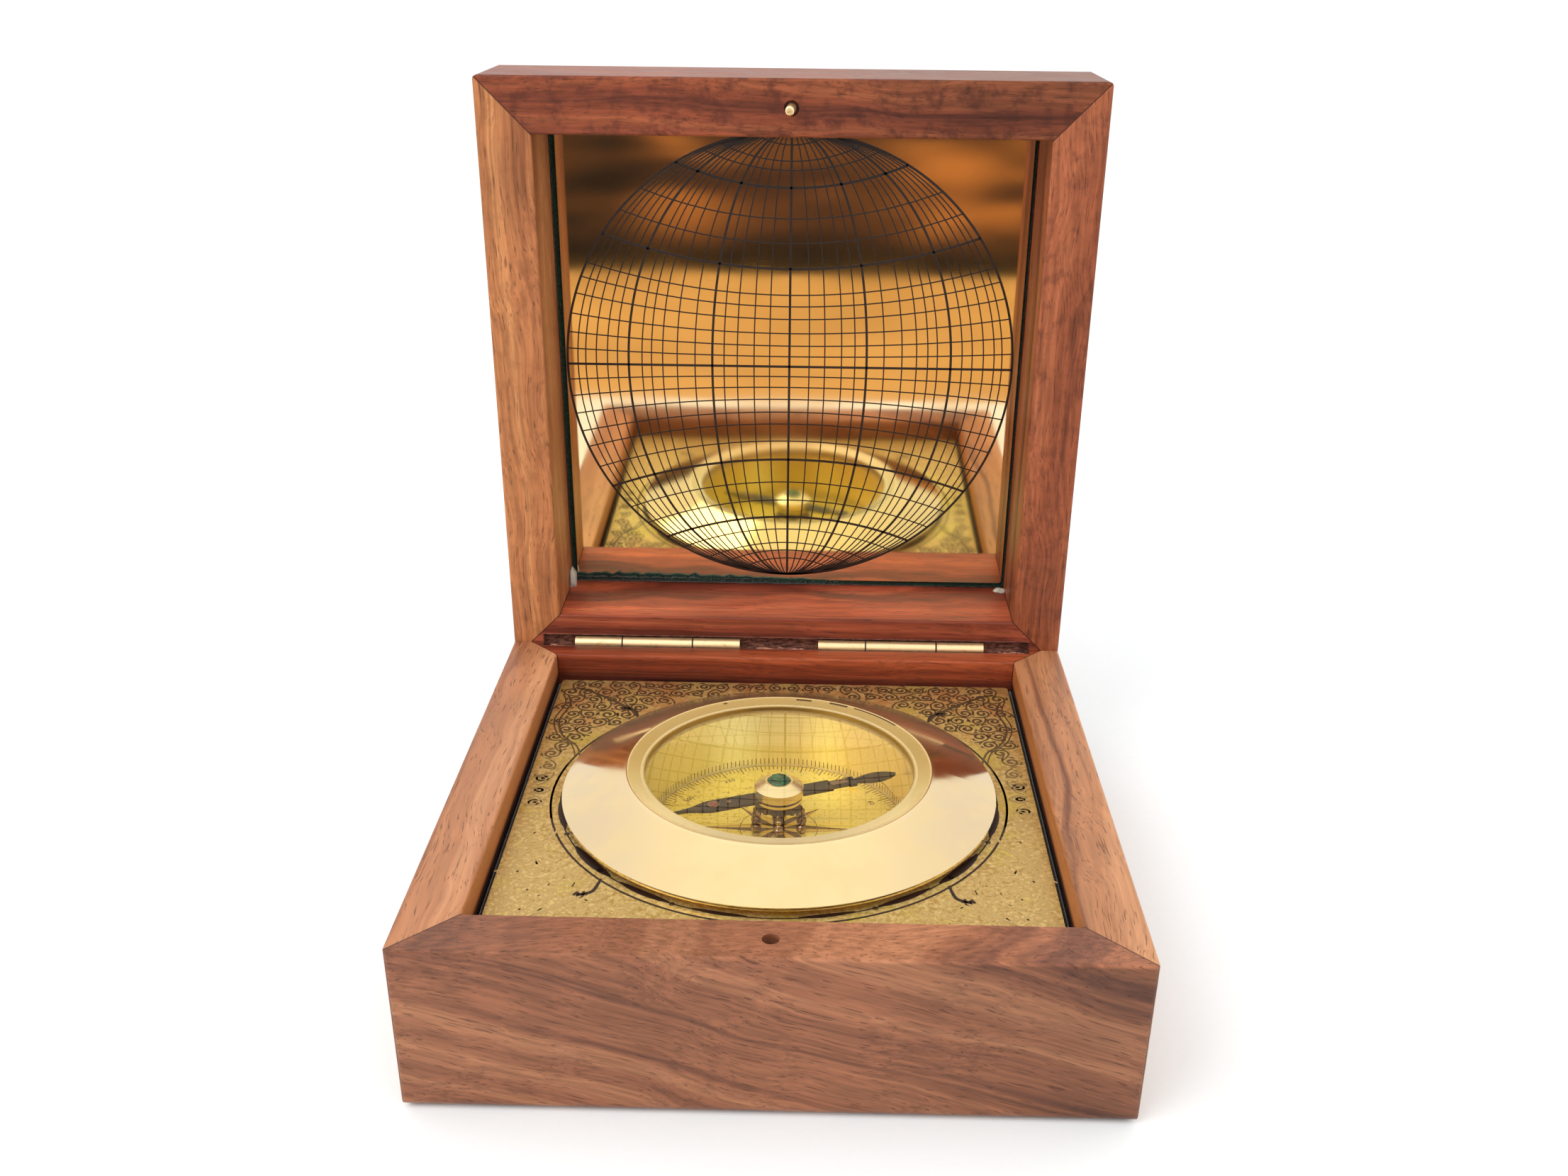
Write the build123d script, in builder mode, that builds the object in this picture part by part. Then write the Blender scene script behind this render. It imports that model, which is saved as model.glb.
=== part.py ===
"""Compass box: a square hardwood case with a dry compass let into the base and a hinged lid.

The lid stands open at a right angle behind the base, resting on the bevelled backs of both frames.
Units are millimetres. +Z is up, +X is to the right and -Y faces the reader. The origin is the
centre of the underside of the base.
"""

import os
from math import cos, radians, sin

from build123d import *

os.makedirs("parts", exist_ok=True)

# Case
box_width = 100.0
box_depth = 100.0
base_height = 26.0
lid_height = 22.0
rail_width = 8.7
rim_gap = 0.1
mitre_angle = 45.0
corner_radius = 0.8
rim_radius = 0.4
base_edge_radius = 1.6
lid_edge_radius = 2.5
base_board_thickness = 4.0
lid_panel_thickness = 4.2
board_lap = 4.3

# Plates, felt and the strips under the base plate
plate_thickness = 1.0
plate_drop = 4.6
plate_margin = 1.0
plate_corner_radius = 0.6
felt_thickness = 0.8
felt_margin = 0.15
strip_width = 6.0
grid_plate_margin = 0.9
grid_plate_shift_x = 0.25
grid_plate_shift_y = -0.35

# Hinges
hinge_inset = 3.3
hinge_spacing = 44.6
hinge_shift = -1.2
hinge_length = 30.2
centre_knuckle_length = 12.8
knuckle_gap = 0.1
knuckle_radius = 1.2
hinge_pin_radius = 0.6
running_clearance = 0.03
leaf_thickness = 0.6
leaf_depth = 8.0
leaf_clearance = 0.06
groove_clearance = 0.3
groove_overrun = 3.2
stop_clearance = 0.02
brad_radius = 0.45
brad_head_radius = 0.85
brad_head_height = 0.35
brad_length = 6.2
brad_drop = 5.4
brad_spacing = 10.5
brads_per_leaf = 3
driven_fit = 0.01

# Latch pin
latch_hole_radius = 1.2
latch_hole_depth = 5.0
pin_radius = 0.75
pin_reach = 2.9
pin_root = 4.5
pin_recess = 1.2
pin_lean = 6.0
pin_lean_bearing = 150.0
pin_tip_radius = 0.35

# Compass well and bezel
well_radius = 21.0
dial_drop = 6.7
dial_thickness = 1.0
dial_clearance = 0.1
cup_wall = 0.8
cup_floor = 0.8
flange_width = 4.4
flange_thickness = 0.8
crystal_rise = 3.5
crystal_thickness = 0.9
crystal_clearance = 0.15
gasket_thickness = 0.5
lip_height = 0.5
lip_width = 2.8
peak_height = 0.6
peak_radius = 0.5
cone_width = 10.2
cone_fall = 4.0
bezel_edge_height = 0.5
bezel_overhang = 2.2
bezel_fit = 0.25
bezel_screw_radius = 0.8
bezel_screw_head_radius = 1.5
bezel_screw_head_height = 0.9
bezel_screw_reach = 2.0
bezel_screw_inset = 5.0
bezel_screw_count = 4
bezel_screw_bearing = 45.0

# Needle
needle_angle = 21.8
tip_clearance = 0.8
tail_shortfall = 2.8
blade_thickness = 0.5
bar_half_width = 1.4
tail_half_width = 1.5
waist_half_width = 0.95
block_half_width = 1.2
neck_half_width = 0.4
leaf_half_width = 1.2
leaf_tip_length = 7.2
block_length = 1.3
waist_length = 2.9
tail_taper = 6.5
tail_tip_half_width = 0.05
tail_waist_half_width = 0.6
tail_tip_slope = 0.1
leaf_widest = 3.0
leaf_root_slope = 0.25
leaf_tip_slope = -0.8
inlay_thickness = 0.15
inlay_disc_radius = 0.95
inlay_dot_radius = 0.4
inlay_bar_half_width = 0.6
hub_radius = 3.9
hub_height = 1.35
hub_bevel_height = 1.0
hub_top_radius = 2.2
collar_radius = 3.7
collar_height = 0.45
gem_radius = 1.85
gem_seat_depth = 0.4
gem_crown = 0.5
gem_facets = 8
gem_taper = 40.0
crystal_gap = 0.9
bearing_radius = 1.3
bearing_height = 2.1
bearing_bore_radius = 0.75
bearing_cone_height = 0.5
bearing_roof = 0.25

# Pivot stand
pivot_radius = 0.35
pivot_tip_gap = 0.05
pivot_tip_height = 0.9
pivot_seat_depth = 2.0
post_radius = 0.9
post_gap = 0.5
table_drop = 0.9
table_thickness = 0.6
table_half_length = 3.4
table_half_width = 2.0
table_beads = 14
bead_radius = 0.38
foot_count = 6
foot_half_length = 4.2
foot_half_width = 2.4
foot_radius = 0.6
leg_radius = 0.28
leg_bow = 0.7
shank_radius = 0.7
nut_radius = 1.9
nut_height = 1.2
nut_sides = 6

# Places worked out from the sizes above
inner_width = box_width - 2 * rail_width
inner_depth = box_depth - 2 * rail_width
hinge_y = box_depth / 2 - hinge_inset
hinge_z = base_height + rim_gap / 2
centre_y = -hinge_y
front_y = centre_y - box_depth / 2
latch_y = front_y + rail_width / 2
outer_knuckle_length = (hinge_length - centre_knuckle_length) / 2 - knuckle_gap
outer_knuckle_x = (hinge_length - outer_knuckle_length) / 2
knuckle_bore_radius = hinge_pin_radius + running_clearance
groove_radius = knuckle_radius + groove_clearance
groove_length = inner_width + 2 * groove_overrun

plate_top = base_height - plate_drop
plate_underside = plate_top - plate_thickness
strip_top = plate_underside - felt_thickness
strip_height = strip_top - base_board_thickness
grid_plate_depth = lid_height - lid_panel_thickness - felt_thickness - plate_thickness

cup_radius = well_radius + cup_wall
flange_radius = cup_radius + flange_width
bezel_bore_radius = cup_radius + bezel_fit
bezel_radius = well_radius + lip_width + cone_width
bezel_foot_radius = bezel_radius - bezel_overhang
bezel_screw_circle = bezel_radius - bezel_screw_inset
dial_top = plate_top - dial_drop
cup_inside = dial_top - dial_thickness
cup_underside = cup_inside - cup_floor
crystal_underside = plate_top + crystal_rise
crystal_top = crystal_underside + crystal_thickness
crystal_radius = bezel_bore_radius - crystal_clearance
cup_rim = crystal_underside - gasket_thickness
bezel_lip_z = crystal_top + lip_height
bezel_peak_z = bezel_lip_z + peak_height
bezel_edge_z = bezel_peak_z - cone_fall

gem_top = crystal_underside - crystal_gap
gem_seat = gem_top - gem_crown - gem_seat_depth
hub_top = gem_top - gem_crown
hub_shoulder = hub_top - hub_bevel_height
blade_top = hub_shoulder - hub_height
blade_underside = blade_top - blade_thickness
collar_underside = blade_underside - collar_height
bearing_top = collar_underside + bearing_height
pivot_tip = bearing_top - bearing_roof - pivot_tip_gap
post_top = collar_underside - post_gap
table_top = post_top - table_drop
table_underside = table_top - table_thickness
needle_reach = well_radius - tip_clearance
tail_reach = needle_reach - tail_shortfall

# Both frames are written as offsets from the hinge axis with the box shut.
# The lid's frame is then turned back a right angle, to the pose in which it stands.
base_frame = Plane(origin=(0, hinge_y, hinge_z))
lid_frame = Plane(origin=(0, hinge_y, hinge_z), x_dir=(1, 0, 0), z_dir=(0, 1, 0))
BASE = (base_frame, -1)
LID = (lid_frame, 1)


def write(piece, name):
    """Name a finished piece and write its file."""
    piece.part.label = name
    export_step(piece.part, f"parts/{name}.step")


def plane_in(frame, origin, x_dir, z_dir):
    """A plane whose origin and directions are written in another plane's coordinates."""
    turn = frame.from_local_coords
    return Plane(
        origin=turn(origin),
        x_dir=turn(x_dir) - frame.origin,
        z_dir=turn(z_dir) - frame.origin,
    )


def rim_plane(half, x, y, inward):
    """The plane of a frame's rim: x runs along the rail, y inward, z away from the joint."""
    frame, away = half
    along = Vector(*inward).cross(Vector(0, 0, away))
    return plane_in(frame, (x, y, away * rim_gap / 2), tuple(along), (0, 0, away))


def rail_planes(half):
    """The rim planes of one half's four rails, each from the middle of its outer edge."""
    return {
        "front": rim_plane(half, 0, front_y, (0, 1, 0)),
        "back": rim_plane(half, 0, hinge_inset, (0, -1, 0)),
        "left": rim_plane(half, -box_width / 2, centre_y, (1, 0, 0)),
        "right": rim_plane(half, box_width / 2, centre_y, (-1, 0, 0)),
    }


def section_of(rim):
    """The plane across a rail: x runs inward and y away from the rim."""
    return Plane(origin=rim.origin, x_dir=rim.y_dir, z_dir=rim.x_dir)


def outer_face_of(rim):
    """The plane of a rail's outer face: x runs along the rail and y away from the rim."""
    return Plane(origin=rim.origin, x_dir=rim.x_dir, z_dir=-rim.y_dir)


def mitred_rail(rim, length, height, edge_radius, board_thickness):
    """A moulded length of wood, rebated for its board, with both ends cut to a mitre."""
    end = -length / 2
    with BuildPart() as rail:
        with BuildSketch(section_of(rim)) as profile:
            Rectangle(rail_width, height, align=(Align.MIN, Align.MIN))
            with Locations((rail_width, height)):
                Rectangle(board_lap, board_thickness, align=(Align.MAX, Align.MAX), mode=Mode.SUBTRACT)
            fillet(profile.vertices().group_by(Axis.X)[0].sort_by(Axis.Y)[-1], edge_radius)
            fillet(profile.vertices().group_by(Axis.Y)[0], rim_radius)
        extrude(amount=length / 2, both=True)
        with BuildSketch(rim):
            with BuildLine():
                tip_centre = (end + corner_radius, corner_radius)
                tip = CenterArc(tip_centre, corner_radius, 180 + mitre_angle, mitre_angle)
                Polyline(
                    tip @ 1,
                    (end + corner_radius, -corner_radius),
                    (end - rail_width, -corner_radius),
                    (end - rail_width, 2 * rail_width),
                    (end + 2 * rail_width, 2 * rail_width),
                    tip @ 0,
                )
            make_face()
            mirror(about=Plane.YZ)
        extrude(amount=height, mode=Mode.SUBTRACT)
    return rail.part


def bevel_waste(back_rim):
    """The wood planed off the back of a frame, so that the lid stops when it stands upright."""
    bevel = hinge_inset - rim_gap / 2 + stop_clearance
    with BuildPart() as waste:
        with BuildSketch(section_of(back_rim)):
            with BuildLine():
                Polyline((2 * bevel, -bevel), (-bevel, 2 * bevel), (-bevel, -bevel), close=True)
            make_face()
        extrude(amount=box_width, both=True)
    return waste.part


def side_rail(rim, back_rim, height, edge_radius, board_thickness):
    """A left or right rail, bevelled at the back in line with the back rail."""
    with BuildPart() as rail:
        add(mitred_rail(rim, box_depth, height, edge_radius, board_thickness))
        add(bevel_waste(back_rim), mode=Mode.SUBTRACT)
    return rail.part


def hinges_on(rim):
    """The middle of the pair of hinges, along a back rim: the two rims run opposite ways."""
    return hinge_shift * rim.x_dir.X


def hinge_rail(rim, height, edge_radius, board_thickness):
    """A back rail: bevelled as the lid's stop, grooved for the barrels and slotted for the leaves."""
    with BuildPart() as rail:
        add(mitred_rail(rim, box_width, height, edge_radius, board_thickness))
        add(bevel_waste(rim), mode=Mode.SUBTRACT)
        with BuildSketch(section_of(rim)):
            with Locations((hinge_inset, -rim_gap / 2)):
                Circle(groove_radius)
        extrude(amount=groove_length / 2, both=True, mode=Mode.SUBTRACT)
        with BuildSketch(rim):
            with Locations((hinges_on(rim), hinge_inset)):
                with GridLocations(hinge_spacing, 1, 2, 1):
                    Rectangle(hinge_length + 2 * leaf_clearance, leaf_thickness + 2 * leaf_clearance)
        extrude(amount=leaf_depth + leaf_clearance, mode=Mode.SUBTRACT)
        with Locations(outer_face_of(rim)):
            with Locations((hinges_on(rim), brad_drop)):
                with GridLocations(hinge_spacing, 1, 2, 1):
                    with GridLocations(brad_spacing, 1, brads_per_leaf, 1):
                        CounterBoreHole(
                            brad_radius + driven_fit,
                            brad_head_radius + driven_fit,
                            brad_head_height,
                            brad_length,
                        )
    return rail.part


def brads(rim):
    """The brads that pin two leaves through a back rail."""
    face = outer_face_of(rim)
    with BuildPart() as row:
        with BuildSketch(face):
            with Locations((hinges_on(rim), brad_drop)):
                with GridLocations(hinge_spacing, 1, 2, 1):
                    with GridLocations(brad_spacing, 1, brads_per_leaf, 1):
                        Circle(brad_head_radius)
        extrude(amount=-brad_head_height)
        with BuildSketch(face):
            with Locations((hinges_on(rim), brad_drop)):
                with GridLocations(hinge_spacing, 1, 2, 1):
                    with GridLocations(brad_spacing, 1, brads_per_leaf, 1):
                        Circle(brad_radius)
        extrude(amount=-brad_length)
    return row.part


def hinge_leaf(rim, hinge_x, knuckles):
    """A leaf with its rolled knuckles, given as (place along the barrel, length) pairs."""
    centre = rim.from_local_coords((hinge_x * rim.x_dir.X, hinge_inset, -rim_gap / 2))
    barrel = Plane(origin=centre, x_dir=rim.y_dir, z_dir=rim.x_dir)
    sheet = Plane(origin=centre, x_dir=rim.x_dir, z_dir=-rim.y_dir)
    leaf_start = groove_radius
    leaf_end = leaf_depth + rim_gap / 2
    tab_start = (knuckle_bore_radius + knuckle_radius) / 2
    with BuildPart() as leaf:
        with BuildSketch(sheet):
            with Locations((0, leaf_start)):
                Rectangle(hinge_length, leaf_end - leaf_start, align=(Align.CENTER, Align.MIN))
            for place, length in knuckles:
                with Locations((place, tab_start)):
                    Rectangle(length, leaf_start - tab_start, align=(Align.CENTER, Align.MIN))
            with Locations((0, brad_drop + rim_gap / 2)):
                with GridLocations(brad_spacing, 1, brads_per_leaf, 1):
                    Circle(brad_radius + driven_fit, mode=Mode.SUBTRACT)
        extrude(amount=leaf_thickness / 2, both=True)
        for place, length in knuckles:
            with BuildSketch(barrel.offset(place)):
                Circle(knuckle_radius)
                Circle(knuckle_bore_radius, mode=Mode.SUBTRACT)
            extrude(amount=length / 2, both=True)
    return leaf.part


base_rails = rail_planes(BASE)
lid_rails = rail_planes(LID)
latch_on_rim = (0, rail_width / 2)

# Base frame
with BuildPart() as base_front_rail:
    add(mitred_rail(base_rails["front"], box_width, base_height, base_edge_radius, base_board_thickness))
    with BuildSketch(base_rails["front"]):
        with Locations(latch_on_rim):
            Circle(latch_hole_radius)
    extrude(amount=latch_hole_depth, mode=Mode.SUBTRACT)
write(base_front_rail, "base_front_rail")

with BuildPart() as base_back_rail:
    add(hinge_rail(base_rails["back"], base_height, base_edge_radius, base_board_thickness))
write(base_back_rail, "base_back_rail")

for side in ("left", "right"):
    with BuildPart() as base_side_rail:
        rim = base_rails[side]
        add(side_rail(rim, base_rails["back"], base_height, base_edge_radius, base_board_thickness))
    write(base_side_rail, f"base_{side}_rail")

with BuildPart() as base_bottom_board:
    with BuildSketch():
        Rectangle(inner_width + 2 * board_lap, inner_depth + 2 * board_lap)
    extrude(amount=base_board_thickness)
write(base_bottom_board, "base_bottom_board")

# Strips glued inside the base, on which the felt and the plate lie
for name, y in (("front", -1), ("back", 1)):
    with BuildPart() as cross_strip:
        with BuildSketch(Plane.XY.offset(base_board_thickness)):
            with Locations((0, y * (inner_depth - strip_width) / 2)):
                Rectangle(inner_width, strip_width)
        extrude(amount=strip_height)
    write(cross_strip, f"support_strip_{name}")

for name, x in (("left", -1), ("right", 1)):
    with BuildPart() as side_strip:
        with BuildSketch(Plane.XY.offset(base_board_thickness)):
            with Locations((x * (inner_width - strip_width) / 2, 0)):
                Rectangle(strip_width, inner_depth - 2 * strip_width)
        extrude(amount=strip_height)
    write(side_strip, f"support_strip_{name}")

with BuildPart() as base_felt:
    with BuildSketch(Plane.XY.offset(strip_top)):
        Rectangle(inner_width - 2 * felt_margin, inner_depth - 2 * felt_margin)
        Circle(bezel_bore_radius + felt_margin, mode=Mode.SUBTRACT)
        with PolarLocations(bezel_screw_circle, bezel_screw_count, bezel_screw_bearing):
            Circle(bezel_screw_head_radius + felt_margin, mode=Mode.SUBTRACT)
    extrude(amount=felt_thickness)
write(base_felt, "base_felt")

with BuildPart() as engraved_plate:
    with BuildSketch(Plane.XY.offset(plate_underside)):
        RectangleRounded(
            inner_width - 2 * plate_margin, inner_depth - 2 * plate_margin, plate_corner_radius
        )
        Circle(bezel_bore_radius, mode=Mode.SUBTRACT)
        with PolarLocations(bezel_screw_circle, bezel_screw_count, bezel_screw_bearing):
            Circle(bezel_screw_radius + driven_fit, mode=Mode.SUBTRACT)
    extrude(amount=plate_thickness)
write(engraved_plate, "engraved_plate")

# Bezel, turned from one brass ring: lip, peak, long cone, edge standing clear of the plate
with BuildPart() as bezel_ring:
    with BuildSketch(Plane.XZ) as bezel_profile:
        with BuildLine():
            Polyline(
                (well_radius, crystal_top),
                (well_radius, bezel_lip_z),
                (well_radius + lip_width, bezel_peak_z),
                (bezel_radius, bezel_edge_z),
                (bezel_radius, bezel_edge_z - bezel_edge_height),
                (bezel_foot_radius, bezel_edge_z - bezel_edge_height),
                (bezel_foot_radius, plate_top),
                (flange_radius + driven_fit, plate_top),
                (flange_radius + driven_fit, plate_top + flange_thickness),
                (bezel_bore_radius, plate_top + flange_thickness),
                (bezel_bore_radius, crystal_top),
                close=True,
            )
        make_face()
        fillet(bezel_profile.vertices().sort_by(Axis.Y)[-1], peak_radius)
    revolve(axis=Axis.Z)
    with BuildSketch(Plane.XY.offset(plate_top)):
        with PolarLocations(bezel_screw_circle, bezel_screw_count, bezel_screw_bearing):
            Circle(bezel_screw_radius + driven_fit)
    extrude(amount=bezel_screw_reach, mode=Mode.SUBTRACT)
write(bezel_ring, "bezel_ring")

with BuildPart() as bezel_screws:
    with BuildSketch(Plane.XY.offset(plate_underside)):
        with PolarLocations(bezel_screw_circle, bezel_screw_count, bezel_screw_bearing):
            Circle(bezel_screw_head_radius)
    extrude(amount=-bezel_screw_head_height)
    with BuildSketch(Plane.XY.offset(plate_underside)):
        with PolarLocations(bezel_screw_circle, bezel_screw_count, bezel_screw_bearing):
            Circle(bezel_screw_radius)
    extrude(amount=plate_thickness + bezel_screw_reach)
write(bezel_screws, "bezel_screws")

# Compass cup, spun from sheet, hung in the plate by its flange
with BuildPart() as compass_cup:
    with BuildSketch(Plane.XZ):
        with BuildLine():
            Polyline(
                (shank_radius + driven_fit, cup_underside),
                (cup_radius, cup_underside),
                (cup_radius, plate_top),
                (flange_radius, plate_top),
                (flange_radius, plate_top + flange_thickness),
                (cup_radius, plate_top + flange_thickness),
                (cup_radius, cup_rim),
                (well_radius, cup_rim),
                (well_radius, cup_inside),
                (shank_radius + driven_fit, cup_inside),
                close=True,
            )
        make_face()
    revolve(axis=Axis.Z)
write(compass_cup, "compass_cup")

with BuildPart() as crystal_gasket:
    with BuildSketch(Plane.XY.offset(cup_rim)):
        Circle(crystal_radius)
        Circle(well_radius, mode=Mode.SUBTRACT)
    extrude(amount=gasket_thickness)
write(crystal_gasket, "crystal_gasket")

with BuildPart() as crystal:
    with BuildSketch(Plane.XY.offset(crystal_underside)):
        Circle(crystal_radius)
    extrude(amount=crystal_thickness)
write(crystal, "crystal")

with BuildPart() as dial:
    with BuildSketch(Plane.XY.offset(cup_inside)):
        Circle(well_radius - dial_clearance)
        Circle(shank_radius + driven_fit, mode=Mode.SUBTRACT)
    extrude(amount=dial_thickness)
write(dial, "dial")

# Pivot stand: an oval beaded table on bowed legs with ball feet, around the post of the pivot
with BuildPart() as pivot_stand:
    with BuildSketch(Plane.XY.offset(table_underside)):
        Ellipse(table_half_length, table_half_width)
        for bead in range(table_beads):
            turn = radians(360 * bead / table_beads)
            with Locations((table_half_length * cos(turn), table_half_width * sin(turn))):
                Circle(bead_radius)
    extrude(amount=table_thickness)
    with BuildSketch(Plane.XY.offset(dial_top)):
        Circle(post_radius)
    extrude(amount=post_top - dial_top)
    with BuildSketch(Plane.XY.offset(dial_top)):
        Circle(shank_radius)
    extrude(amount=cup_underside - nut_height - dial_top)
    for foot in range(foot_count):
        turn = radians(360 * (foot + 0.5) / foot_count)
        reach_x = cos(turn)
        reach_y = sin(turn)
        root_x = (table_half_length - leg_radius) * reach_x
        root_y = (table_half_width - leg_radius) * reach_y
        top = Vector(root_x, root_y, table_underside + table_thickness / 2)
        toe = Vector(foot_half_length * reach_x, foot_half_width * reach_y, dial_top + foot_radius)
        bow = (top + toe) / 2 + Vector(leg_bow * reach_x, leg_bow * reach_y, 0)
        with BuildLine() as leg:
            ThreePointArc(top, bow, toe)
        with BuildSketch(Plane(origin=leg.line @ 0, z_dir=leg.line % 0)):
            Circle(leg_radius)
        sweep()
        with Locations(toe):
            Sphere(foot_radius)
    with BuildSketch(Plane.XY.offset(post_top)):
        Circle(pivot_radius + driven_fit)
    extrude(amount=-pivot_seat_depth, mode=Mode.SUBTRACT)
write(pivot_stand, "pivot_stand")

with BuildPart() as pivot_nut:
    with BuildSketch(Plane.XY.offset(cup_underside)):
        RegularPolygon(nut_radius, nut_sides)
        Circle(shank_radius + driven_fit, mode=Mode.SUBTRACT)
    extrude(amount=-nut_height)
write(pivot_nut, "pivot_nut")

with BuildPart() as pivot_pin:
    with BuildSketch(Plane.XZ):
        with BuildLine():
            Polyline(
                (0, post_top - pivot_seat_depth),
                (pivot_radius, post_top - pivot_seat_depth),
                (pivot_radius, pivot_tip - pivot_tip_height),
                (0, pivot_tip),
                close=True,
            )
        make_face()
    revolve(axis=Axis.Z)
write(pivot_pin, "pivot_pin")

# Needle: blade, brass cap and collar, jewelled bearing and green stone
needle_x = (cos(radians(needle_angle)), sin(radians(needle_angle)), 0)
needle_frame = Plane(origin=(0, 0, 0), x_dir=needle_x, z_dir=(0, 0, 1))
leaf_root = needle_reach - leaf_tip_length
block_start = leaf_root - block_length
waist_start = block_start - waist_length
tail_shoulder = tail_reach - tail_taper

with BuildPart() as needle_blade:
    with BuildSketch(needle_frame.offset(blade_underside)):
        with BuildLine():
            Line((-tail_reach, 0), (-tail_reach, tail_tip_half_width))
            Spline(
                (-tail_reach, tail_tip_half_width),
                (-tail_reach + tail_taper / 2, tail_waist_half_width),
                (-tail_shoulder, tail_half_width),
                tangents=[(1, tail_tip_slope), (1, 0)],
            )
            Polyline(
                (-tail_shoulder, tail_half_width),
                (waist_start, bar_half_width),
                (waist_start, waist_half_width),
                (block_start, waist_half_width),
                (block_start, block_half_width),
                (leaf_root, block_half_width),
                (leaf_root, neck_half_width),
            )
            Spline(
                (leaf_root, neck_half_width),
                (leaf_root + leaf_widest, leaf_half_width),
                (needle_reach, 0),
                tangents=[(1, leaf_root_slope), (1, leaf_tip_slope)],
            )
            Line((needle_reach, 0), (-tail_reach, 0))
        make_face()
        mirror(about=Plane.XZ)
        Circle(collar_radius)
        Circle(bearing_radius + driven_fit, mode=Mode.SUBTRACT)
    extrude(amount=blade_thickness)
write(needle_blade, "needle_blade")

with BuildPart() as needle_inlays:
    with BuildSketch(needle_frame.offset(blade_top)):
        with Locations((-tail_shoulder, 0)):
            Circle(inlay_disc_radius)
        with Locations((-(tail_shoulder + hub_radius) / 2 - inlay_disc_radius, 0)):
            Circle(inlay_dot_radius)
        with Locations(((waist_start + block_start) / 2, 0)):
            Rectangle(waist_length, 2 * inlay_bar_half_width)
    extrude(amount=inlay_thickness)
write(needle_inlays, "needle_inlays")

with BuildPart() as needle_hub:
    with BuildSketch(Plane.XZ):
        with BuildLine():
            Polyline(
                (bearing_radius + driven_fit, blade_top),
                (hub_radius, blade_top),
                (hub_radius, hub_shoulder),
                (hub_top_radius, hub_top),
                (gem_radius + driven_fit, hub_top),
                (gem_radius + driven_fit, gem_seat),
                (0, gem_seat),
                (0, bearing_top),
                (bearing_radius + driven_fit, bearing_top),
                close=True,
            )
        make_face()
    revolve(axis=Axis.Z)
write(needle_hub, "needle_hub")

with BuildPart() as needle_collar:
    with BuildSketch(Plane.XY.offset(collar_underside)):
        Circle(collar_radius)
        Circle(bearing_radius + driven_fit, mode=Mode.SUBTRACT)
    extrude(amount=collar_height)
write(needle_collar, "needle_collar")

with BuildPart() as needle_bearing:
    with BuildSketch(Plane.XZ):
        with BuildLine():
            Polyline(
                (bearing_bore_radius, collar_underside),
                (bearing_radius, collar_underside),
                (bearing_radius, bearing_top),
                (0, bearing_top),
                (0, bearing_top - bearing_roof),
                (bearing_bore_radius, bearing_top - bearing_roof - bearing_cone_height),
                close=True,
            )
        make_face()
    revolve(axis=Axis.Z)
write(needle_bearing, "needle_bearing")

with BuildPart() as needle_gem:
    with BuildSketch(Plane.XY.offset(gem_seat)):
        RegularPolygon(gem_radius, gem_facets)
    extrude(amount=gem_seat_depth)
    extrude(needle_gem.faces().sort_by(Axis.Z)[-1], amount=gem_crown, taper=gem_taper)
write(needle_gem, "needle_gem")

# Hinges
for name, hand in (("left", -1), ("right", 1)):
    hinge_x = hinge_shift + hand * hinge_spacing / 2
    outer_knuckles = [(-outer_knuckle_x, outer_knuckle_length), (outer_knuckle_x, outer_knuckle_length)]
    with BuildPart() as base_leaf:
        add(hinge_leaf(base_rails["back"], hinge_x, outer_knuckles))
    write(base_leaf, f"hinge_base_leaf_{name}")

    with BuildPart() as lid_leaf:
        add(hinge_leaf(lid_rails["back"], hinge_x, [(0, centre_knuckle_length)]))
    write(lid_leaf, f"hinge_lid_leaf_{name}")

    with BuildPart() as hinge_pin:
        with BuildSketch(Plane(origin=(hinge_x, hinge_y, hinge_z), z_dir=(1, 0, 0))):
            Circle(hinge_pin_radius)
        extrude(amount=hinge_length / 2, both=True)
    write(hinge_pin, f"hinge_pin_{name}")

with BuildPart() as base_leaf_brads:
    add(brads(base_rails["back"]))
write(base_leaf_brads, "base_leaf_brads")

with BuildPart() as lid_leaf_brads:
    add(brads(lid_rails["back"]))
write(lid_leaf_brads, "lid_leaf_brads")

# Lid frame. The latch pin stands out of the front rail with a slight lean.
latch_on_lid = plane_in(lid_frame, (0, latch_y, rim_gap / 2), (1, 0, 0), (0, 0, -1))
lean_x = sin(radians(pin_lean)) * cos(radians(pin_lean_bearing))
lean_y = sin(radians(pin_lean)) * sin(radians(pin_lean_bearing))
lean_z = cos(radians(pin_lean))
pin_plane = plane_in(lid_frame, (0, latch_y, rim_gap / 2), (0, lean_z, lean_y), (lean_x, lean_y, -lean_z))

with BuildPart() as lid_front_rail:
    add(mitred_rail(lid_rails["front"], box_width, lid_height, lid_edge_radius, lid_panel_thickness))
    with BuildSketch(latch_on_lid):
        Circle(latch_hole_radius)
    extrude(amount=-pin_recess, mode=Mode.SUBTRACT)
    with BuildSketch(pin_plane):
        Circle(pin_radius + driven_fit)
    extrude(amount=-pin_root, mode=Mode.SUBTRACT)
write(lid_front_rail, "lid_front_rail")

with BuildPart() as latch_pin:
    with BuildSketch(pin_plane.offset(-pin_root)):
        Circle(pin_radius)
    extrude(amount=pin_root + pin_reach)
    fillet(latch_pin.faces().sort_by(Axis(pin_plane.origin, pin_plane.z_dir))[-1].edges(), pin_tip_radius)
write(latch_pin, "latch_pin")

with BuildPart() as lid_back_rail:
    add(hinge_rail(lid_rails["back"], lid_height, lid_edge_radius, lid_panel_thickness))
write(lid_back_rail, "lid_back_rail")

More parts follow.
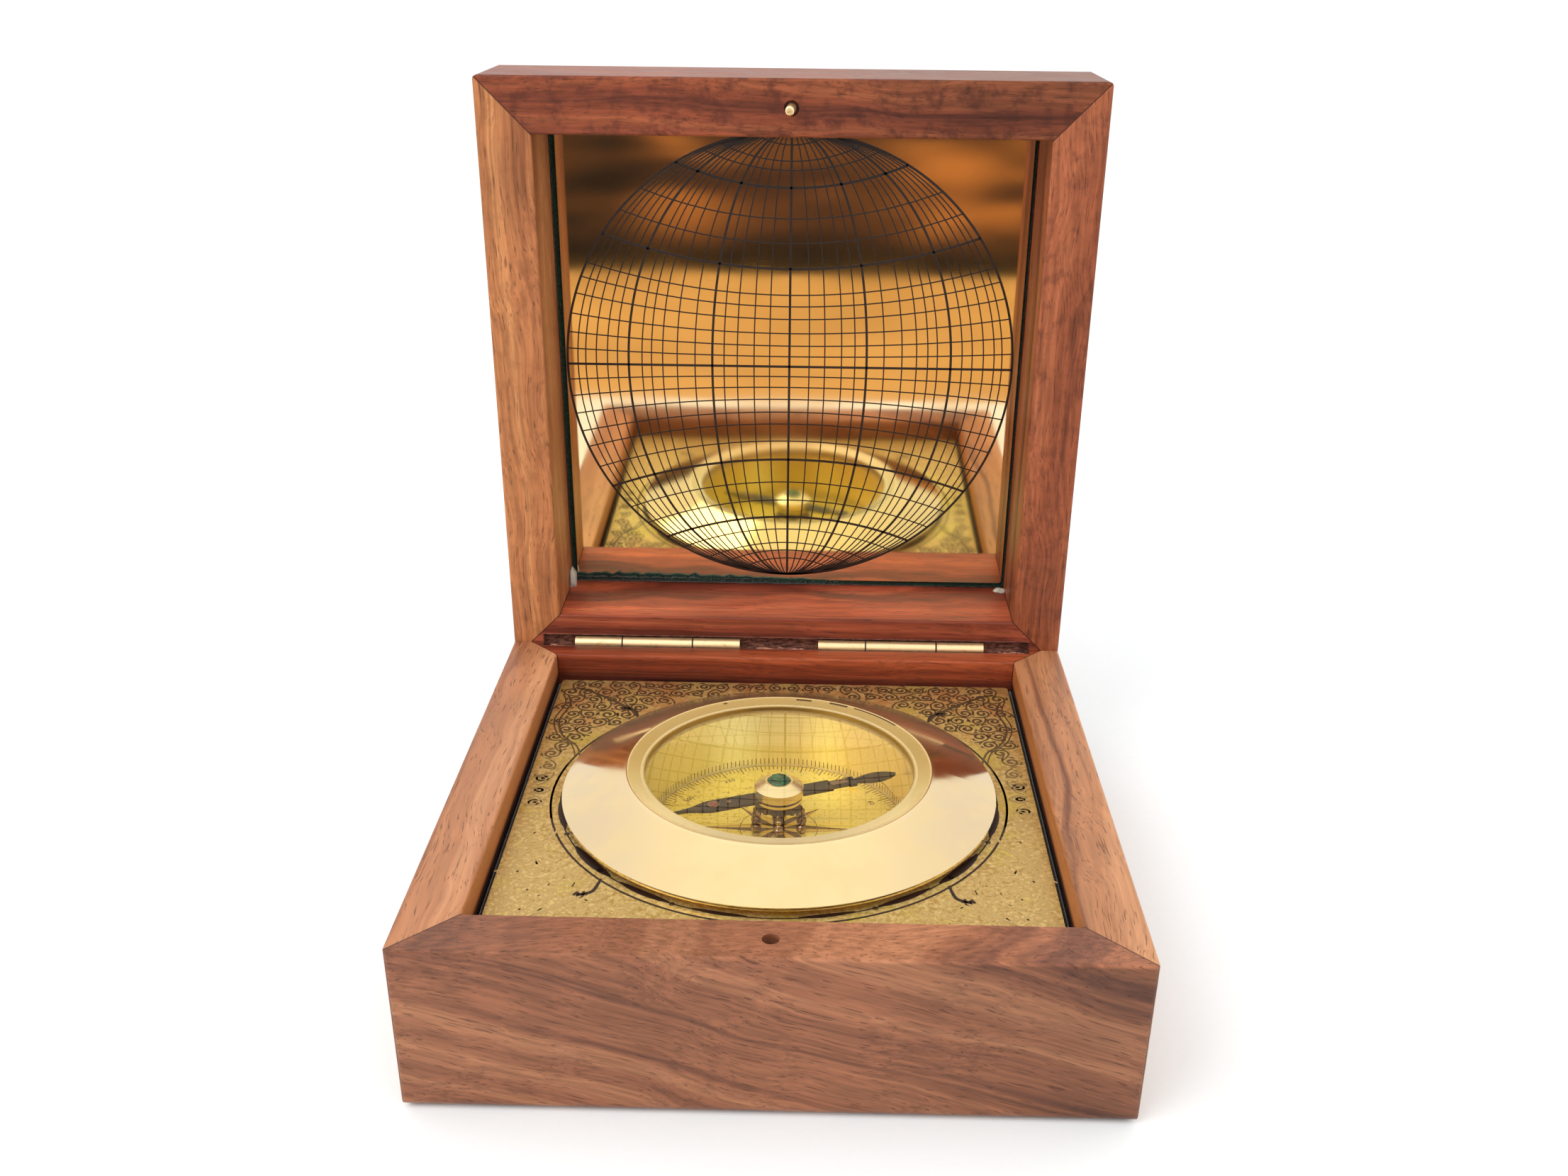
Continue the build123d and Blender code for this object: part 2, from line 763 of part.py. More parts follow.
for side in ("left", "right"):
    with BuildPart() as lid_side_rail:
        rim = lid_rails[side]
        add(side_rail(rim, lid_rails["back"], lid_height, lid_edge_radius, lid_panel_thickness))
    write(lid_side_rail, f"lid_{side}_rail")

lid_rim_z = rim_gap / 2


def lid_sheet_plane(depth, shift_x=0, shift_y=0):
    """A plane across the lid, its centre at a depth from the rim."""
    return plane_in(lid_frame, (shift_x, centre_y + shift_y, lid_rim_z + depth), (1, 0, 0), (0, 0, 1))


with BuildPart() as lid_top_panel:
    with BuildSketch(lid_sheet_plane(lid_height - lid_panel_thickness)):
        Rectangle(inner_width + 2 * board_lap, inner_depth + 2 * board_lap)
    extrude(amount=lid_panel_thickness)
write(lid_top_panel, "lid_top_panel")

with BuildPart() as lid_felt:
    with BuildSketch(lid_sheet_plane(grid_plate_depth + plate_thickness)):
        Rectangle(inner_width - 2 * felt_margin, inner_depth - 2 * felt_margin)
    extrude(amount=felt_thickness)
write(lid_felt, "lid_felt")

with BuildPart() as grid_plate:
    with BuildSketch(lid_sheet_plane(grid_plate_depth, grid_plate_shift_x, grid_plate_shift_y)):
        RectangleRounded(
            inner_width - 2 * grid_plate_margin, inner_depth - 2 * grid_plate_margin, plate_corner_radius
        )
    extrude(amount=plate_thickness)
write(grid_plate, "grid_plate")
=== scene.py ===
"""Looks for the compass box: camera, light, floor, materials, engraving, printed globe grid and felt.

Everything is in metres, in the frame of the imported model, with +Z up and the front at -Y.
Sizes on the object are written in millimetres and turned to metres by MM.
"""

from math import asin, cos, degrees, hypot, pi, radians, sin
import random
from random import choice, uniform

import bmesh
import bpy
from mathutils import Matrix, Vector, noise


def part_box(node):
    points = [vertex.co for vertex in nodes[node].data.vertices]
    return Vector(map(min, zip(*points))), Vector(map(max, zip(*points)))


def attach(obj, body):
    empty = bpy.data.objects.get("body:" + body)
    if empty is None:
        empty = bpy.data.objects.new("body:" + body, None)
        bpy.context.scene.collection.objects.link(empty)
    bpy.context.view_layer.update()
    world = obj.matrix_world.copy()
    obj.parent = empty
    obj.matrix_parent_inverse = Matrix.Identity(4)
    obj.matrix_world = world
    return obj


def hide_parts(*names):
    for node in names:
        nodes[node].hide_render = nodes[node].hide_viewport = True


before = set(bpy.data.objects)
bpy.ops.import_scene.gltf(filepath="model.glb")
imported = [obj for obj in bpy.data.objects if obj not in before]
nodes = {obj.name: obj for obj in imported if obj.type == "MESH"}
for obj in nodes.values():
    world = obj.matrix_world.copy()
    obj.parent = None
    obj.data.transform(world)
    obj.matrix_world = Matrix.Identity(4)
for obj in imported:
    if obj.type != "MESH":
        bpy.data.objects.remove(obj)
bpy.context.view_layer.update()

MM = 0.001


# Camera, fitted to the corners of both frames in the photograph
CAMERA_PLACE_MM = (4.22, -211.35, 143.18)
CAMERA_TURN_DEG = (62.97, -0.52, 1.33)
CAMERA_LENS = 35.36
CAMERA_SENSOR = 36.0
CAMERA_SHIFT = (0.0015, 0.0818)
CAMERA_CLIP = 0.01

camera_data = bpy.data.cameras.new("camera")
camera_data.lens = CAMERA_LENS
camera_data.sensor_width = CAMERA_SENSOR
camera_data.shift_x, camera_data.shift_y = CAMERA_SHIFT
camera_data.clip_start = CAMERA_CLIP
camera = bpy.data.objects.new("camera", camera_data)
camera.location = Vector(CAMERA_PLACE_MM) * MM
camera.rotation_euler = [radians(turn) for turn in CAMERA_TURN_DEG]
bpy.context.scene.collection.objects.link(camera)
bpy.context.scene.camera = camera
bpy.context.scene.view_settings.view_transform = "Standard"


# Places on the object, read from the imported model, in millimetres
def box_mm(node):
    """The lowest and highest corners of a CAD node at rest."""
    return [tuple(value / MM for value in corner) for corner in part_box(node)]


GRID_LOW, GRID_HIGH = box_mm("grid_plate")
PANEL_LOW, PANEL_HIGH = box_mm("lid_top_panel")
BASE_FELT_LOW, BASE_FELT_HIGH = box_mm("base_felt")
PIN_LOW, PIN_HIGH = box_mm("hinge_pin_left")
OTHER_PIN_LOW, OTHER_PIN_HIGH = box_mm("hinge_pin_right")
PLATE_TOP = box_mm("engraved_plate")[1][2]
DIAL_TOP = box_mm("dial")[1][2]
STAND_TOP = box_mm("pivot_stand")[1][2]
INLAY_TOP = box_mm("needle_inlays")[1][2]
CRYSTAL_LOW = box_mm("crystal")[0][2]
LID_FELT_BACK = box_mm("lid_felt")[1][1]
GRID_FACE = GRID_LOW[1]
HINGE_Y = (PIN_LOW[1] + PIN_HIGH[1]) / 2
HINGE_Z = (PIN_LOW[2] + PIN_HIGH[2]) / 2
HINGES_MIDDLE = (PIN_LOW[0] + OTHER_PIN_HIGH[0]) / 2
HINGE_SPREAD = (OTHER_PIN_LOW[0] + OTHER_PIN_HIGH[0]) / 2 - HINGES_MIDDLE
OPENING_HALF = 41.3
GROOVE_HALF = 44.5
LID_MIDDLE = (PANEL_LOW[2] + PANEL_HIGH[2]) / 2
LID_FLOOR = LID_MIDDLE - OPENING_HALF


def paint(red, green, blue):
    """A colour on the 0 to 255 scale of a screen, as the linear values that shaders take."""
    def linear(value):
        value /= 255
        return value / 12.92 if value <= 0.04045 else ((value + 0.055) / 1.055) ** 2.4
    return (linear(red), linear(green), linear(blue), 1.0)


class Look:
    """One material's node graph and its colour so far, with a short call for each kind of node.

    A colour of three numbers is on the scale of paint, and one of four numbers is linear.
    """

    def __init__(self, name):
        self.material = bpy.data.materials.new(name)
        self.material.use_nodes = True
        self.tree = self.material.node_tree
        self.tree.nodes.clear()
        metres = self.node("ShaderNodeTexCoord").outputs["Object"]
        self.mm = self.vector("SCALE", metres, 1 / MM)
        self.x, self.y, self.z = self.node("ShaderNodeSeparateXYZ", {0: self.mm}).outputs

    def node(self, kind, sockets=(), **settings):
        made = self.tree.nodes.new(kind)
        for name, value in settings.items():
            setattr(made, name, value)
        for key, value in dict(sockets).items():
            socket = made.inputs[key]
            if isinstance(value, bpy.types.NodeSocket):
                self.tree.links.new(value, socket)
            elif socket.type == "RGBA" and len(value) == 3:
                socket.default_value = paint(*value)
            else:
                socket.default_value = value
        return made

    def math(self, operation, first, second=0.0):
        return self.node("ShaderNodeMath", {0: first, 1: second}, operation=operation).outputs[0]

    def times(self, value, *others):
        for other in others:
            value = self.math("MULTIPLY", value, other)
        return value

    def plus(self, first, second):
        return self.math("ADD", first, second)

    def less(self, first, second):
        return self.math("SUBTRACT", first, second)

    def size(self, value):
        return self.math("ABSOLUTE", value)

    def gap(self, value, middle):
        """How far a value is from a middle, on either side."""
        return self.size(self.less(value, middle))

    def length(self, first, second):
        """The distance whose two components are given."""
        return self.math("SQRT", self.plus(self.times(first, first), self.times(second, second)))

    def vector(self, operation, first, second):
        key = "Scale" if operation == "SCALE" else 1
        return self.node("ShaderNodeVectorMath", {0: first, key: second}, operation=operation).outputs[0]

    def shade(self, factor):
        """Make the colour lighter or darker."""
        self.color = self.vector("SCALE", self.color, factor)

    def mix(self, share, first, second):
        """The first colour with a share of the second."""
        return self.node("ShaderNodeMix", {0: share, 6: first, 7: second}, data_type="RGBA").outputs[2]

    def cover(self, color, *shares):
        """Lay another colour over the one so far, by the product of the shares."""
        self.color = self.mix(self.times(*shares), self.color, color)

    def noise(self, scale, detail=3.0, roughness=0.5, distortion=0.0, place=None):
        """Noise over the object's millimetres, or over another place."""
        sockets = {"Vector": place or self.mm, "Scale": scale, "Detail": detail}
        sockets.update({"Roughness": roughness, "Distortion": distortion})
        return self.node("ShaderNodeTexNoise", sockets).outputs["Fac"]

    def stretched(self, parts, scales, seed, detail=3.0, roughness=0.5):
        """Noise over three coordinates, each with its own scale."""
        scaled = [self.times(part, scale) for part, scale in zip(parts, scales)]
        scaled[2] = self.plus(scaled[2], seed)
        place = self.node("ShaderNodeCombineXYZ", dict(enumerate(scaled))).outputs[0]
        return self.noise(1.0, detail, roughness, place=place)

    def range(self, value, low, high, to_low=0.0, to_high=1.0):
        """A smooth step from to_low, up to low, to to_high, from high on."""
        sockets = {"Value": value, "From Min": low, "From Max": high, "To Min": to_low, "To Max": to_high}
        return self.node("ShaderNodeMapRange", sockets, interpolation_type="SMOOTHSTEP").outputs[0]

    def fade(self, value, low, high, start=1.0):
        """A smooth step from start, up to low, down to 0, from high on."""
        return self.range(value, low, high, start, 0.0)

    def rough(self, pattern, low, high):
        """A roughness that follows a pattern."""
        return self.range(pattern, 0.3, 0.7, low, high)

    def bump(self, height, distance_mm, below=None):
        """A normal from a height, on top of another normal if one is given."""
        sockets = {"Height": height, "Distance": distance_mm * MM}
        if below is not None:
            sockets["Normal"] = below
        return self.node("ShaderNodeBump", sockets).outputs[0]

    def finish(self, color=None, **sockets):
        """The material, with its main shader's sockets named in small letters, and _ for each space."""
        named = {"Base Color": color or self.color}
        for name, value in sockets.items():
            named[name.replace("_", " ").title().replace("Ior", "IOR")] = value
        shader = self.node("ShaderNodeBsdfPrincipled", named)
        self.node("ShaderNodeOutputMaterial", {"Surface": shader.outputs[0]})
        return self.material


def two_tone(name, scale, detail, first, second, spread=None, **sockets):
    """A material that wanders between two colours. spread, if given, is the noise's levels for them."""
    look = Look(name)
    share = look.noise(scale, detail)
    if spread:
        share = look.range(share, *spread)
    return look.finish(look.mix(share, first, second), **sockets)


def wear(names, material):
    """Give CAD nodes a material."""
    for name in names:
        data = nodes[name].data
        data.materials.clear()
        data.materials.append(material)


def new_object(name, vertices, faces, material, body, smooth=False):
    """A mesh piece in place, its vertices in millimetres, riding on a body."""
    data = bpy.data.meshes.new(name)
    data.from_pydata([tuple(value * MM for value in vertex) for vertex in vertices], [], faces)
    data.validate()
    data.polygons.foreach_set("use_smooth", [smooth] * len(data.polygons))
    data.materials.append(material)
    made = bpy.data.objects.new(name, data)
    bpy.context.scene.collection.objects.link(made)
    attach(made, body)
    return made


def between_rings(here, there, count):
    """The faces that join two rings of vertices, each given by the index of its first one."""
    return [(here + k, here + (k + 1) % count, there + (k + 1) % count, there + k) for k in range(count)]


# Floor and light
WORLD_COLOR = (1.0, 0.985, 0.965, 1)
WORLD_STRENGTH = 1.15
FLOOR_COLORS = ((0.905, 0.945, 0.97, 1), (0.945, 0.98, 0.995, 1))
FLOOR_HALF = 6.0
FLOOR_DROP = 0.0002
KEY_PLACE = (-0.55, -0.45, 0.85)
KEY_AIM = (0, 0.01, 0.04)
KEY_SIZE = 0.6
KEY_POWER = 3.5
CARD_COLORS = ((196, 152, 84), (212, 166, 92))
CARD_NEAR = -0.128
CARD_FAR = -0.274
CARD_HALF = 0.24
CARD_HEIGHT = 0.0005
FLAG_DARK = (62, 36, 22)
FLAG_WARM = (190, 122, 60)
FLAG_FOOT = (16, 9, 6)
FLAG_TOP = 0.08


def stage_sheet(name, half, front, back, material, seen=True):
    """A flat sheet of the studio, from its front edge to its back edge, each at a (y, z).

    One that isn't seen shows only in polished metal.
    """
    data = bpy.data.meshes.new(name)
    data.from_pydata([(-half, *front), (half, *front), (half, *back), (-half, *back)], [], [(0, 1, 2, 3)])
    data.materials.append(material)
    sheet = bpy.data.objects.new(name, data)
    sheet.visible_camera = seen
    sheet.visible_diffuse = seen
    sheet.visible_shadow = seen
    bpy.context.scene.collection.objects.link(sheet)


def studio():
    """A pale floor and surround, one soft lamp, and a warm card and a dark flag that only the brass sees."""
    paper = two_tone("floor_paper", 0.9, 2, *FLOOR_COLORS, roughness=0.95)
    stage_sheet("floor", FLOOR_HALF, (-FLOOR_HALF, -FLOOR_DROP), (FLOOR_HALF, -FLOOR_DROP), paper)

    look = Look("warm_card")
    grain = look.stretched((look.x, look.y, look.z), (0.01, 0.03, 1), 3.0)
    card = look.finish(look.mix(look.range(grain, 0.35, 0.65), *CARD_COLORS), roughness=0.7)
    stage_sheet("warm_card", CARD_HALF, (CARD_FAR, CARD_HEIGHT), (CARD_NEAR, CARD_HEIGHT), card, seen=False)

    look = Look("dark_flag")
    fold = look.stretched((look.x, look.z, look.y), (0.012, 0.05, 0), 2.0, 2)
    look.color = look.mix(look.range(fold, 0.4, 0.6), FLAG_DARK, FLAG_WARM)
    look.cover(FLAG_DARK, look.fade(look.size(look.x), 15, 60, 0.8))
    look.cover(FLAG_FOOT, look.fade(look.x, -78, -38, 0.85))
    look.cover(FLAG_FOOT, look.fade(look.z, 6, 24))
    flag = look.finish(roughness=0.9)
    stage_sheet("dark_flag", CARD_HALF, (CARD_FAR, 0), (CARD_FAR, FLAG_TOP), flag, seen=False)

    world = bpy.data.worlds.new("surround")
    world.use_nodes = True
    background = world.node_tree.nodes["Background"]
    background.inputs["Color"].default_value = WORLD_COLOR
    background.inputs["Strength"].default_value = WORLD_STRENGTH
    bpy.context.scene.world = world

    light = bpy.data.lights.new("key", "AREA")
    light.size = KEY_SIZE
    light.energy = KEY_POWER
    lamp = bpy.data.objects.new("key", light)
    lamp.location = KEY_PLACE
    aim = Vector(KEY_AIM) - Vector(KEY_PLACE)
    lamp.rotation_euler = aim.to_track_quat("-Z", "Y").to_euler()
    bpy.context.scene.collection.objects.link(lamp)


studio()


# Wood. A mitre lies where X and one other axis are equally far from the frame's middle.
GRAIN_AXES = {"x": (0, 1, 2), "y": (1, 0, 2), "z": (2, 0, 1)}
BASE_MITRE = (1, 0.0)
LID_MITRE = (2, LID_MIDDLE)
MITRE_LINE = (0.06, 0.2)
MITRE_COLOR = (58, 26, 18)
PORE_COLOR = (70, 32, 22)
GROOVE_COLORS = ((88, 46, 38), (158, 102, 82))
GROOVE_REACH = (1.52, 1.72)
# Near-black painted shade, low on the inner faces of the base frame
RECESS_SHADE_COLOR = (26, 17, 22)
INSIDE_AMBER = (186, 108, 52)
BOARD_COLORS = ((168, 104, 76), (146, 84, 60), (96, 52, 40))
STRIP_COLORS = ((206, 170, 128), (190, 150, 108), (160, 118, 80))


def wood(node, along, light, middle, dark, seed, slant=(0.02, 0.02), streaks=0.22, pith=(70, -40),
         mottle=0.0, mitre=BASE_MITRE, groove=False, roughness=0.42, contrast=0.25, dress=None):
    """Give a CAD node open-pored hardwood, with rings about a far pith, and fibres and pores along one axis.

    dress, if given, changes the colour of the bare wood; on the rails that take it, it paints light and
    shade, with amber on the inside of the base.
    """
    look = Look(f"{node}_wood")
    axes = (look.x, look.y, look.z)
    u, v, w = [axes[index] for index in GRAIN_AXES[along]]
    sway = look.less(look.stretched((u, v, w), (0.025, 0.04, 0.04), seed, 2), 0.5)
    v = look.plus(look.plus(v, look.times(u, slant[0])), look.times(sway, 14))
    w = look.plus(look.plus(w, look.times(u, slant[1])), look.times(sway, 9))
    ring = look.length(look.less(v, pith[0]), look.less(w, pith[1]))
    band = look.stretched((ring, u, w), (streaks, 0.004, 0.01), seed + 7, 4, 0.6)
    fibre = look.stretched((u, v, w), (0.045, 1.7, 1.7), seed + 3, 3, 0.6)
    pores = look.range(look.stretched((u, v, w), (0.22, 4.2, 4.2), seed + 5, 1), 0.63, 0.72)
    patch = look.noise(0.045, 2, place=look.vector("ADD", look.mm, (seed, seed, seed)))

    look.color = look.mix(look.range(band, 0.36, 0.52), light, middle)
    look.cover(dark, look.range(band, 0.52, 0.66))
    if mottle:
        blotch = look.noise(0.32, 3, 0.65, place=look.vector("ADD", look.mm, (seed, 0, 0)))
        stained = look.range(look.y, HINGE_Y + 0.3, HINGE_Y + 2, mottle, mottle * 0.35)
        look.cover(dark, look.range(blotch, 0.45, 0.68), stained)
    look.shade(look.range(fibre, 0.28, 0.72, 0.99 - contrast, 0.99 + contrast))
    look.shade(look.range(patch, 0.3, 0.7, 0.9, 1.08))
    look.cover(PORE_COLOR, pores, 0.55)
    if dress:
        dress(look)
    normal = look.bump(look.less(look.times(fibre, 0.4), look.times(pores, 0.8)), 0.05)
    if mitre:
        axis, centre = mitre
        offset = look.gap(look.size(look.x), look.gap(axes[axis], centre))
        look.cover(MITRE_COLOR, look.fade(offset, *MITRE_LINE, 0.85))
    if groove:
        radius = look.length(look.less(look.y, HINGE_Y), look.less(look.z, HINGE_Z))
        ends = look.fade(look.size(look.x), GROOVE_HALF, GROOVE_HALF + 0.2)
        torn = look.times(look.fade(radius, *GROOVE_REACH), ends)
        rough = look.stretched(axes, (0.7, 2.2, 2.2), seed + 11, 4, 0.7)
        look.cover(look.mix(look.range(rough, 0.4, 0.62), *GROOVE_COLORS), torn)
        normal = look.bump(look.times(rough, torn), 0.5, normal)
    wear([node], look.finish(
        roughness=look.rough(fibre, roughness - 0.05, roughness + 0.08),
        normal=normal, specular_ior_level=0.25, coat_weight=0.05, coat_roughness=0.25))


def front_dress(look):
    """Painted shade darkens the front rail to the right, and painted light lightens its top face towards the
    right.
    """
    top = look.times(look.range(look.z, 25.4, 25.9), look.range(look.x, -20, 40, 0.0, 0.5))
    look.shade(look.plus(look.range(look.x, 0, 46, 1.0, 0.8), top))


def lid_front_dress(look):
    """Painted light and shade: the lid's front rail is lighter at the left and darker to the right."""
    look.shade(look.range(look.x, -40, 40, 1.25, 0.76))


def lid_back_dress(look):
    """Painted light: the inner face of the lid's back rail is lighter than its rim and its outside."""
    behind = look.range(look.y, HINGE_Y + 0.2, HINGE_Y + 0.8)
    inner = look.times(behind, look.range(look.z, LID_FLOOR - 0.25, LID_FLOOR - 0.05))
    look.shade(look.plus(1.04, look.times(inner, 0.76)))


def base_inside(look):
    """1 on the inner faces of the base frame, and 0 elsewhere."""
    outward = look.math("MAXIMUM", look.size(look.x), look.y)
    return look.fade(outward, OPENING_HALF + 0.05, OPENING_HALF + 0.3)


def grime_dress(look, share=0.432):
    """Painted shade where the inside of the frame goes down behind the plate."""
    look.cover(RECESS_SHADE_COLOR, base_inside(look), look.fade(look.z, PLATE_TOP, PLATE_TOP + 1.5, share))


def side_dress(look):
    """Amber on the inside of the frame, stronger towards the bottom, and more painted shade."""
    look.cover(INSIDE_AMBER, base_inside(look), look.range(look.z, PLATE_TOP, PLATE_TOP + 4.6, 0.8, 0.45))
    grime_dress(look, 0.96)


wood("base_front_rail", "x", (162, 108, 77), (141, 89, 63), (104, 64, 48), 1.0,
     slant=(0.0, 0.3), streaks=0.2, pith=(-60, 120), dress=front_dress)
wood("base_left_rail", "y", (203, 145, 104), (182, 123, 85), (140, 86, 59), 12.0,
     streaks=0.2, contrast=0.13, dress=side_dress)
wood("base_right_rail", "y", (202, 144, 102), (182, 124, 85), (118, 72, 50), 23.0,
     streaks=0.42, contrast=0.15, dress=side_dress)
wood("base_back_rail", "x", (170, 82, 48), (134, 58, 34), (66, 26, 17), 34.0,
     streaks=0.45, groove=True, dress=grime_dress)
wood("lid_front_rail", "x", (144, 78, 46), (122, 58, 34), (80, 35, 22), 45.0,
     mottle=0.7, mitre=LID_MITRE, dress=lid_front_dress)
wood("lid_left_rail", "z", (192, 129, 80), (173, 109, 66), (134, 76, 45), 56.0,
     mottle=0.3, mitre=LID_MITRE)
wood("lid_right_rail", "z", (174, 100, 64), (142, 75, 46), (84, 40, 27), 67.0,
     streaks=0.45, mottle=0.4, mitre=LID_MITRE)
wood("lid_back_rail", "x", (166, 88, 58), (141, 66, 44), (92, 39, 27), 78.0,
     streaks=0.4, mitre=LID_MITRE, groove=True, dress=lid_back_dress)
wood("lid_top_panel", "x", *BOARD_COLORS, 89.0,
     slant=(0.0, 0.06), streaks=0.25, pith=(-160, 20), mitre=None)
wood("base_bottom_board", "x", *BOARD_COLORS, 101.0, pith=(30, -150), mitre=None)
for side, along, seed in (("front", "x", 111.0), ("back", "x", 122.0),
                          ("left", "y", 133.0), ("right", "y", 144.0)):
    wood(f"support_strip_{side}", along, *STRIP_COLORS, seed, roughness=0.6)


# Brass and the other metals
BEZEL_PEAK = 23.8
BEZEL_BORE = 21.0
MIRROR_LEAN = 0.034
KNUCKLE_JOINT = 6.45
DIAL_RIM = 20.75
# Painted highlights on the well's wall: middle, half width and colour of each
WALL_HIGHLIGHTS = ((-8.0, 6.5, (255, 246, 176)), (7.2, 5.0, (255, 232, 142)))
WALL_METAL = 0.52
WALL_ROUGHNESS = 0.35


def wall_color(look):
    """Colour the well's wall: finely brushed up and down, with faint rings and two soft upright painted
    highlights.
    """
    turn = look.math("ARCTAN2", look.y, look.x)
    brushed = look.stretched((turn, look.z, look.z), (60.0, 0.05, 0.02), 2.0, 2)
    rings = look.stretched((look.z, turn, turn), (5.0, 0.02, 0.0), 5.0, 2)
    look.color = look.mix(look.range(look.x, -12, 14), (232, 213, 122), (244, 212, 130))
    # Painted highlights: two soft upright bands
    for middle, half, highlight in WALL_HIGHLIGHTS:
        look.cover(highlight, look.fade(look.gap(look.x, middle), 0, half, 0.9))
    look.shade(look.range(brushed, 0.25, 0.75, 0.96, 1.04))
    look.shade(look.range(rings, 0.3, 0.7, 0.96, 1.04))


def bezel_brass():
    """Turned and polished, with finger marks; an olive lip, darker at the back as painted reflection,
    between two painted highlights; painted shade at the back of the bore's edge, and the wall's colour with
    its painted highlights in the bore.
    """
    look = Look("bezel_brass")
    radius = look.length(look.x, look.y)
    turned = look.stretched((radius, look.z, look.x), (5.0, 5.0, 0.0), 1.0, 2)
    marks = look.noise(0.16, 3)
    lip = look.fade(radius, BEZEL_PEAK - 1.0, BEZEL_PEAK + 0.9)
    look.color = look.mix(look.range(look.size(look.x), 8, 30), (0.93, 0.72, 0.37, 1), (0.74, 0.58, 0.36, 1))
    look.cover((0.85, 0.65, 0.33, 1), look.range(marks, 0.4, 0.7), 0.5)
    # Painted reflection: the lip's olive is darker towards the back.
    olive = look.mix(look.range(look.y, -20, 4), (0.98, 0.8, 0.46, 1), (0.68, 0.55, 0.27, 1))
    look.cover(olive, lip, 0.95)
    # Painted highlights: two bright lines on the lip, at its peak and by the bore, strongest at the back.
    for middle, half in ((BEZEL_PEAK - 0.1, 0.16), (BEZEL_BORE + 0.5, 0.24)):
        line = look.fade(look.gap(radius, middle), half * 0.5, half, 0.85)
        look.cover((1.0, 0.93, 0.66, 1), line, look.range(look.y, -18, 6))
    # Painted shade: a dark line along the back of the bore's edge, under the lip.
    edge = look.fade(radius, BEZEL_BORE + 0.05, BEZEL_BORE + 0.2, 0.8)
    look.cover((0.3, 0.17, 0.06, 1), edge, look.range(look.y, -20, 0))
    bore = look.fade(radius, BEZEL_BORE + 0.1, BEZEL_BORE + 0.3)
    bore = look.times(look.fade(look.z, CRYSTAL_LOW - 0.1, CRYSTAL_LOW), bore)
    outside = look.color
    wall_color(look)
    look.color = look.mix(bore, outside, look.color)
    lip_plain = look.times(lip, look.range(look.y, -20, 4, 0.5, 0.08))
    plain = look.math("MAXIMUM", lip_plain, look.range(look.y, 2, 14, 0.0, 0.17))
    plain = look.math("MAXIMUM", plain, look.times(bore, 1 - WALL_METAL))
    blur = look.plus(look.range(marks, 0.35, 0.7, 0.08, 0.15), look.times(lip, 0.14))
    return look.finish(
        metallic=look.less(1.0, plain), normal=look.bump(turned, 0.0006),
        roughness=look.math("MAXIMUM", blur, look.times(bore, WALL_ROUGHNESS)))


def mirror_brass():
    """Mirror polished sheet, a little wavy, that leans forward at its top by MIRROR_LEAN, with a painted
    reflection that makes its lower part paler and yellower.
    """
    look = Look("mirror_brass")
    wave = look.noise(0.03, 1, place=look.vector("MULTIPLY", look.mm, (1, 0, 0.5)))
    lean = look.bump(look.times(look.z, MM), MIRROR_LEAN / MM)
    haze = look.noise(0.07, 3)
    scratch = look.range(look.stretched((look.x, look.z, look.y), (0.1, 9.0, 0), 4.0, 1), 0.7, 0.78)
    look.color = look.mix(look.range(haze, 0.35, 0.65), (0.95, 0.73, 0.45, 1), (0.92, 0.69, 0.4, 1))
    # Painted reflection: the lower part of the sheet is paler and yellower.
    look.cover((1.0, 0.92, 0.54, 1), look.fade(look.z, 46, 62))
    blur = look.plus(look.rough(haze, 0.04, 0.065), look.times(scratch, 0.03))
    return look.finish(metallic=1.0, roughness=blur, normal=look.bump(wave, 0.12, lean))


def cup_brass():
    """Spun sheet, in the wall's colour with its painted highlights."""
    look = Look("cup_brass")
    blur = look.rough(look.noise(1.5, 2), WALL_ROUGHNESS - 0.03, WALL_ROUGHNESS + 0.03)
    wall_color(look)
    return look.finish(metallic=WALL_METAL, roughness=blur)


def dial_brass():
    """Lacquered brass card, unevenly yellow and straw, specked, with a bright rim."""
    look = Look("dial_brass")
    tone = look.plus(look.noise(0.13, 3, 0.6, 0.6), look.times(look.x, 0.016))
    look.color = look.mix(look.range(tone, 0.5, 0.64), (252, 230, 114), (242, 228, 132))
    speck = look.noise(1.3, 3, 0.7)
    worn = look.range(look.x, -12, 4, 0.65, 0.35)
    look.cover((142, 120, 42), look.range(speck, 0.54, 0.66), worn)
    rim = look.range(look.length(look.x, look.y), DIAL_RIM - 0.12, DIAL_RIM)
    look.cover((255, 246, 196), rim)
    return look.finish(metallic=0.6, roughness=look.rough(speck, 0.28, 0.42),
                       normal=look.bump(speck, 0.006))


def plate_brass():
    """Antiqued brass under the engraving: mottled gold with dark specks, smoked brown towards the back."""
    look = Look("plate_brass")
    broad = look.noise(0.16, 3, 0.6)
    mottle = look.noise(1.3, 4, 0.65)
    speck = look.noise(3.6, 3, 0.6)
    look.color = look.mix(look.range(mottle, 0.36, 0.62), (206, 174, 100), (242, 216, 146))
    look.cover((228, 208, 96), look.range(broad, 0.5, 0.68, 0.0, 0.6))
    squiggle = look.fade(look.gap(look.noise(1.7, 2, 0.5, 2.0), 0.5), 0.0, 0.02)
    worn = look.range(look.y, -30, 30, 0.3, 0.5)
    look.cover((112, 74, 38), squiggle, worn)
    look.cover((128, 92, 48), look.range(speck, 0.54, 0.68, 0.0, 0.5))
    smoke = look.times(look.range(look.y, 6, 38), look.range(broad, 0.3, 0.6, 0.5, 0.12))
    look.cover((204, 92, 44), smoke)
    return look.finish(metallic=0.75, roughness=look.rough(mottle, 0.34, 0.5),
                       normal=look.bump(look.plus(speck, look.times(squiggle, -1.5)), 0.012))


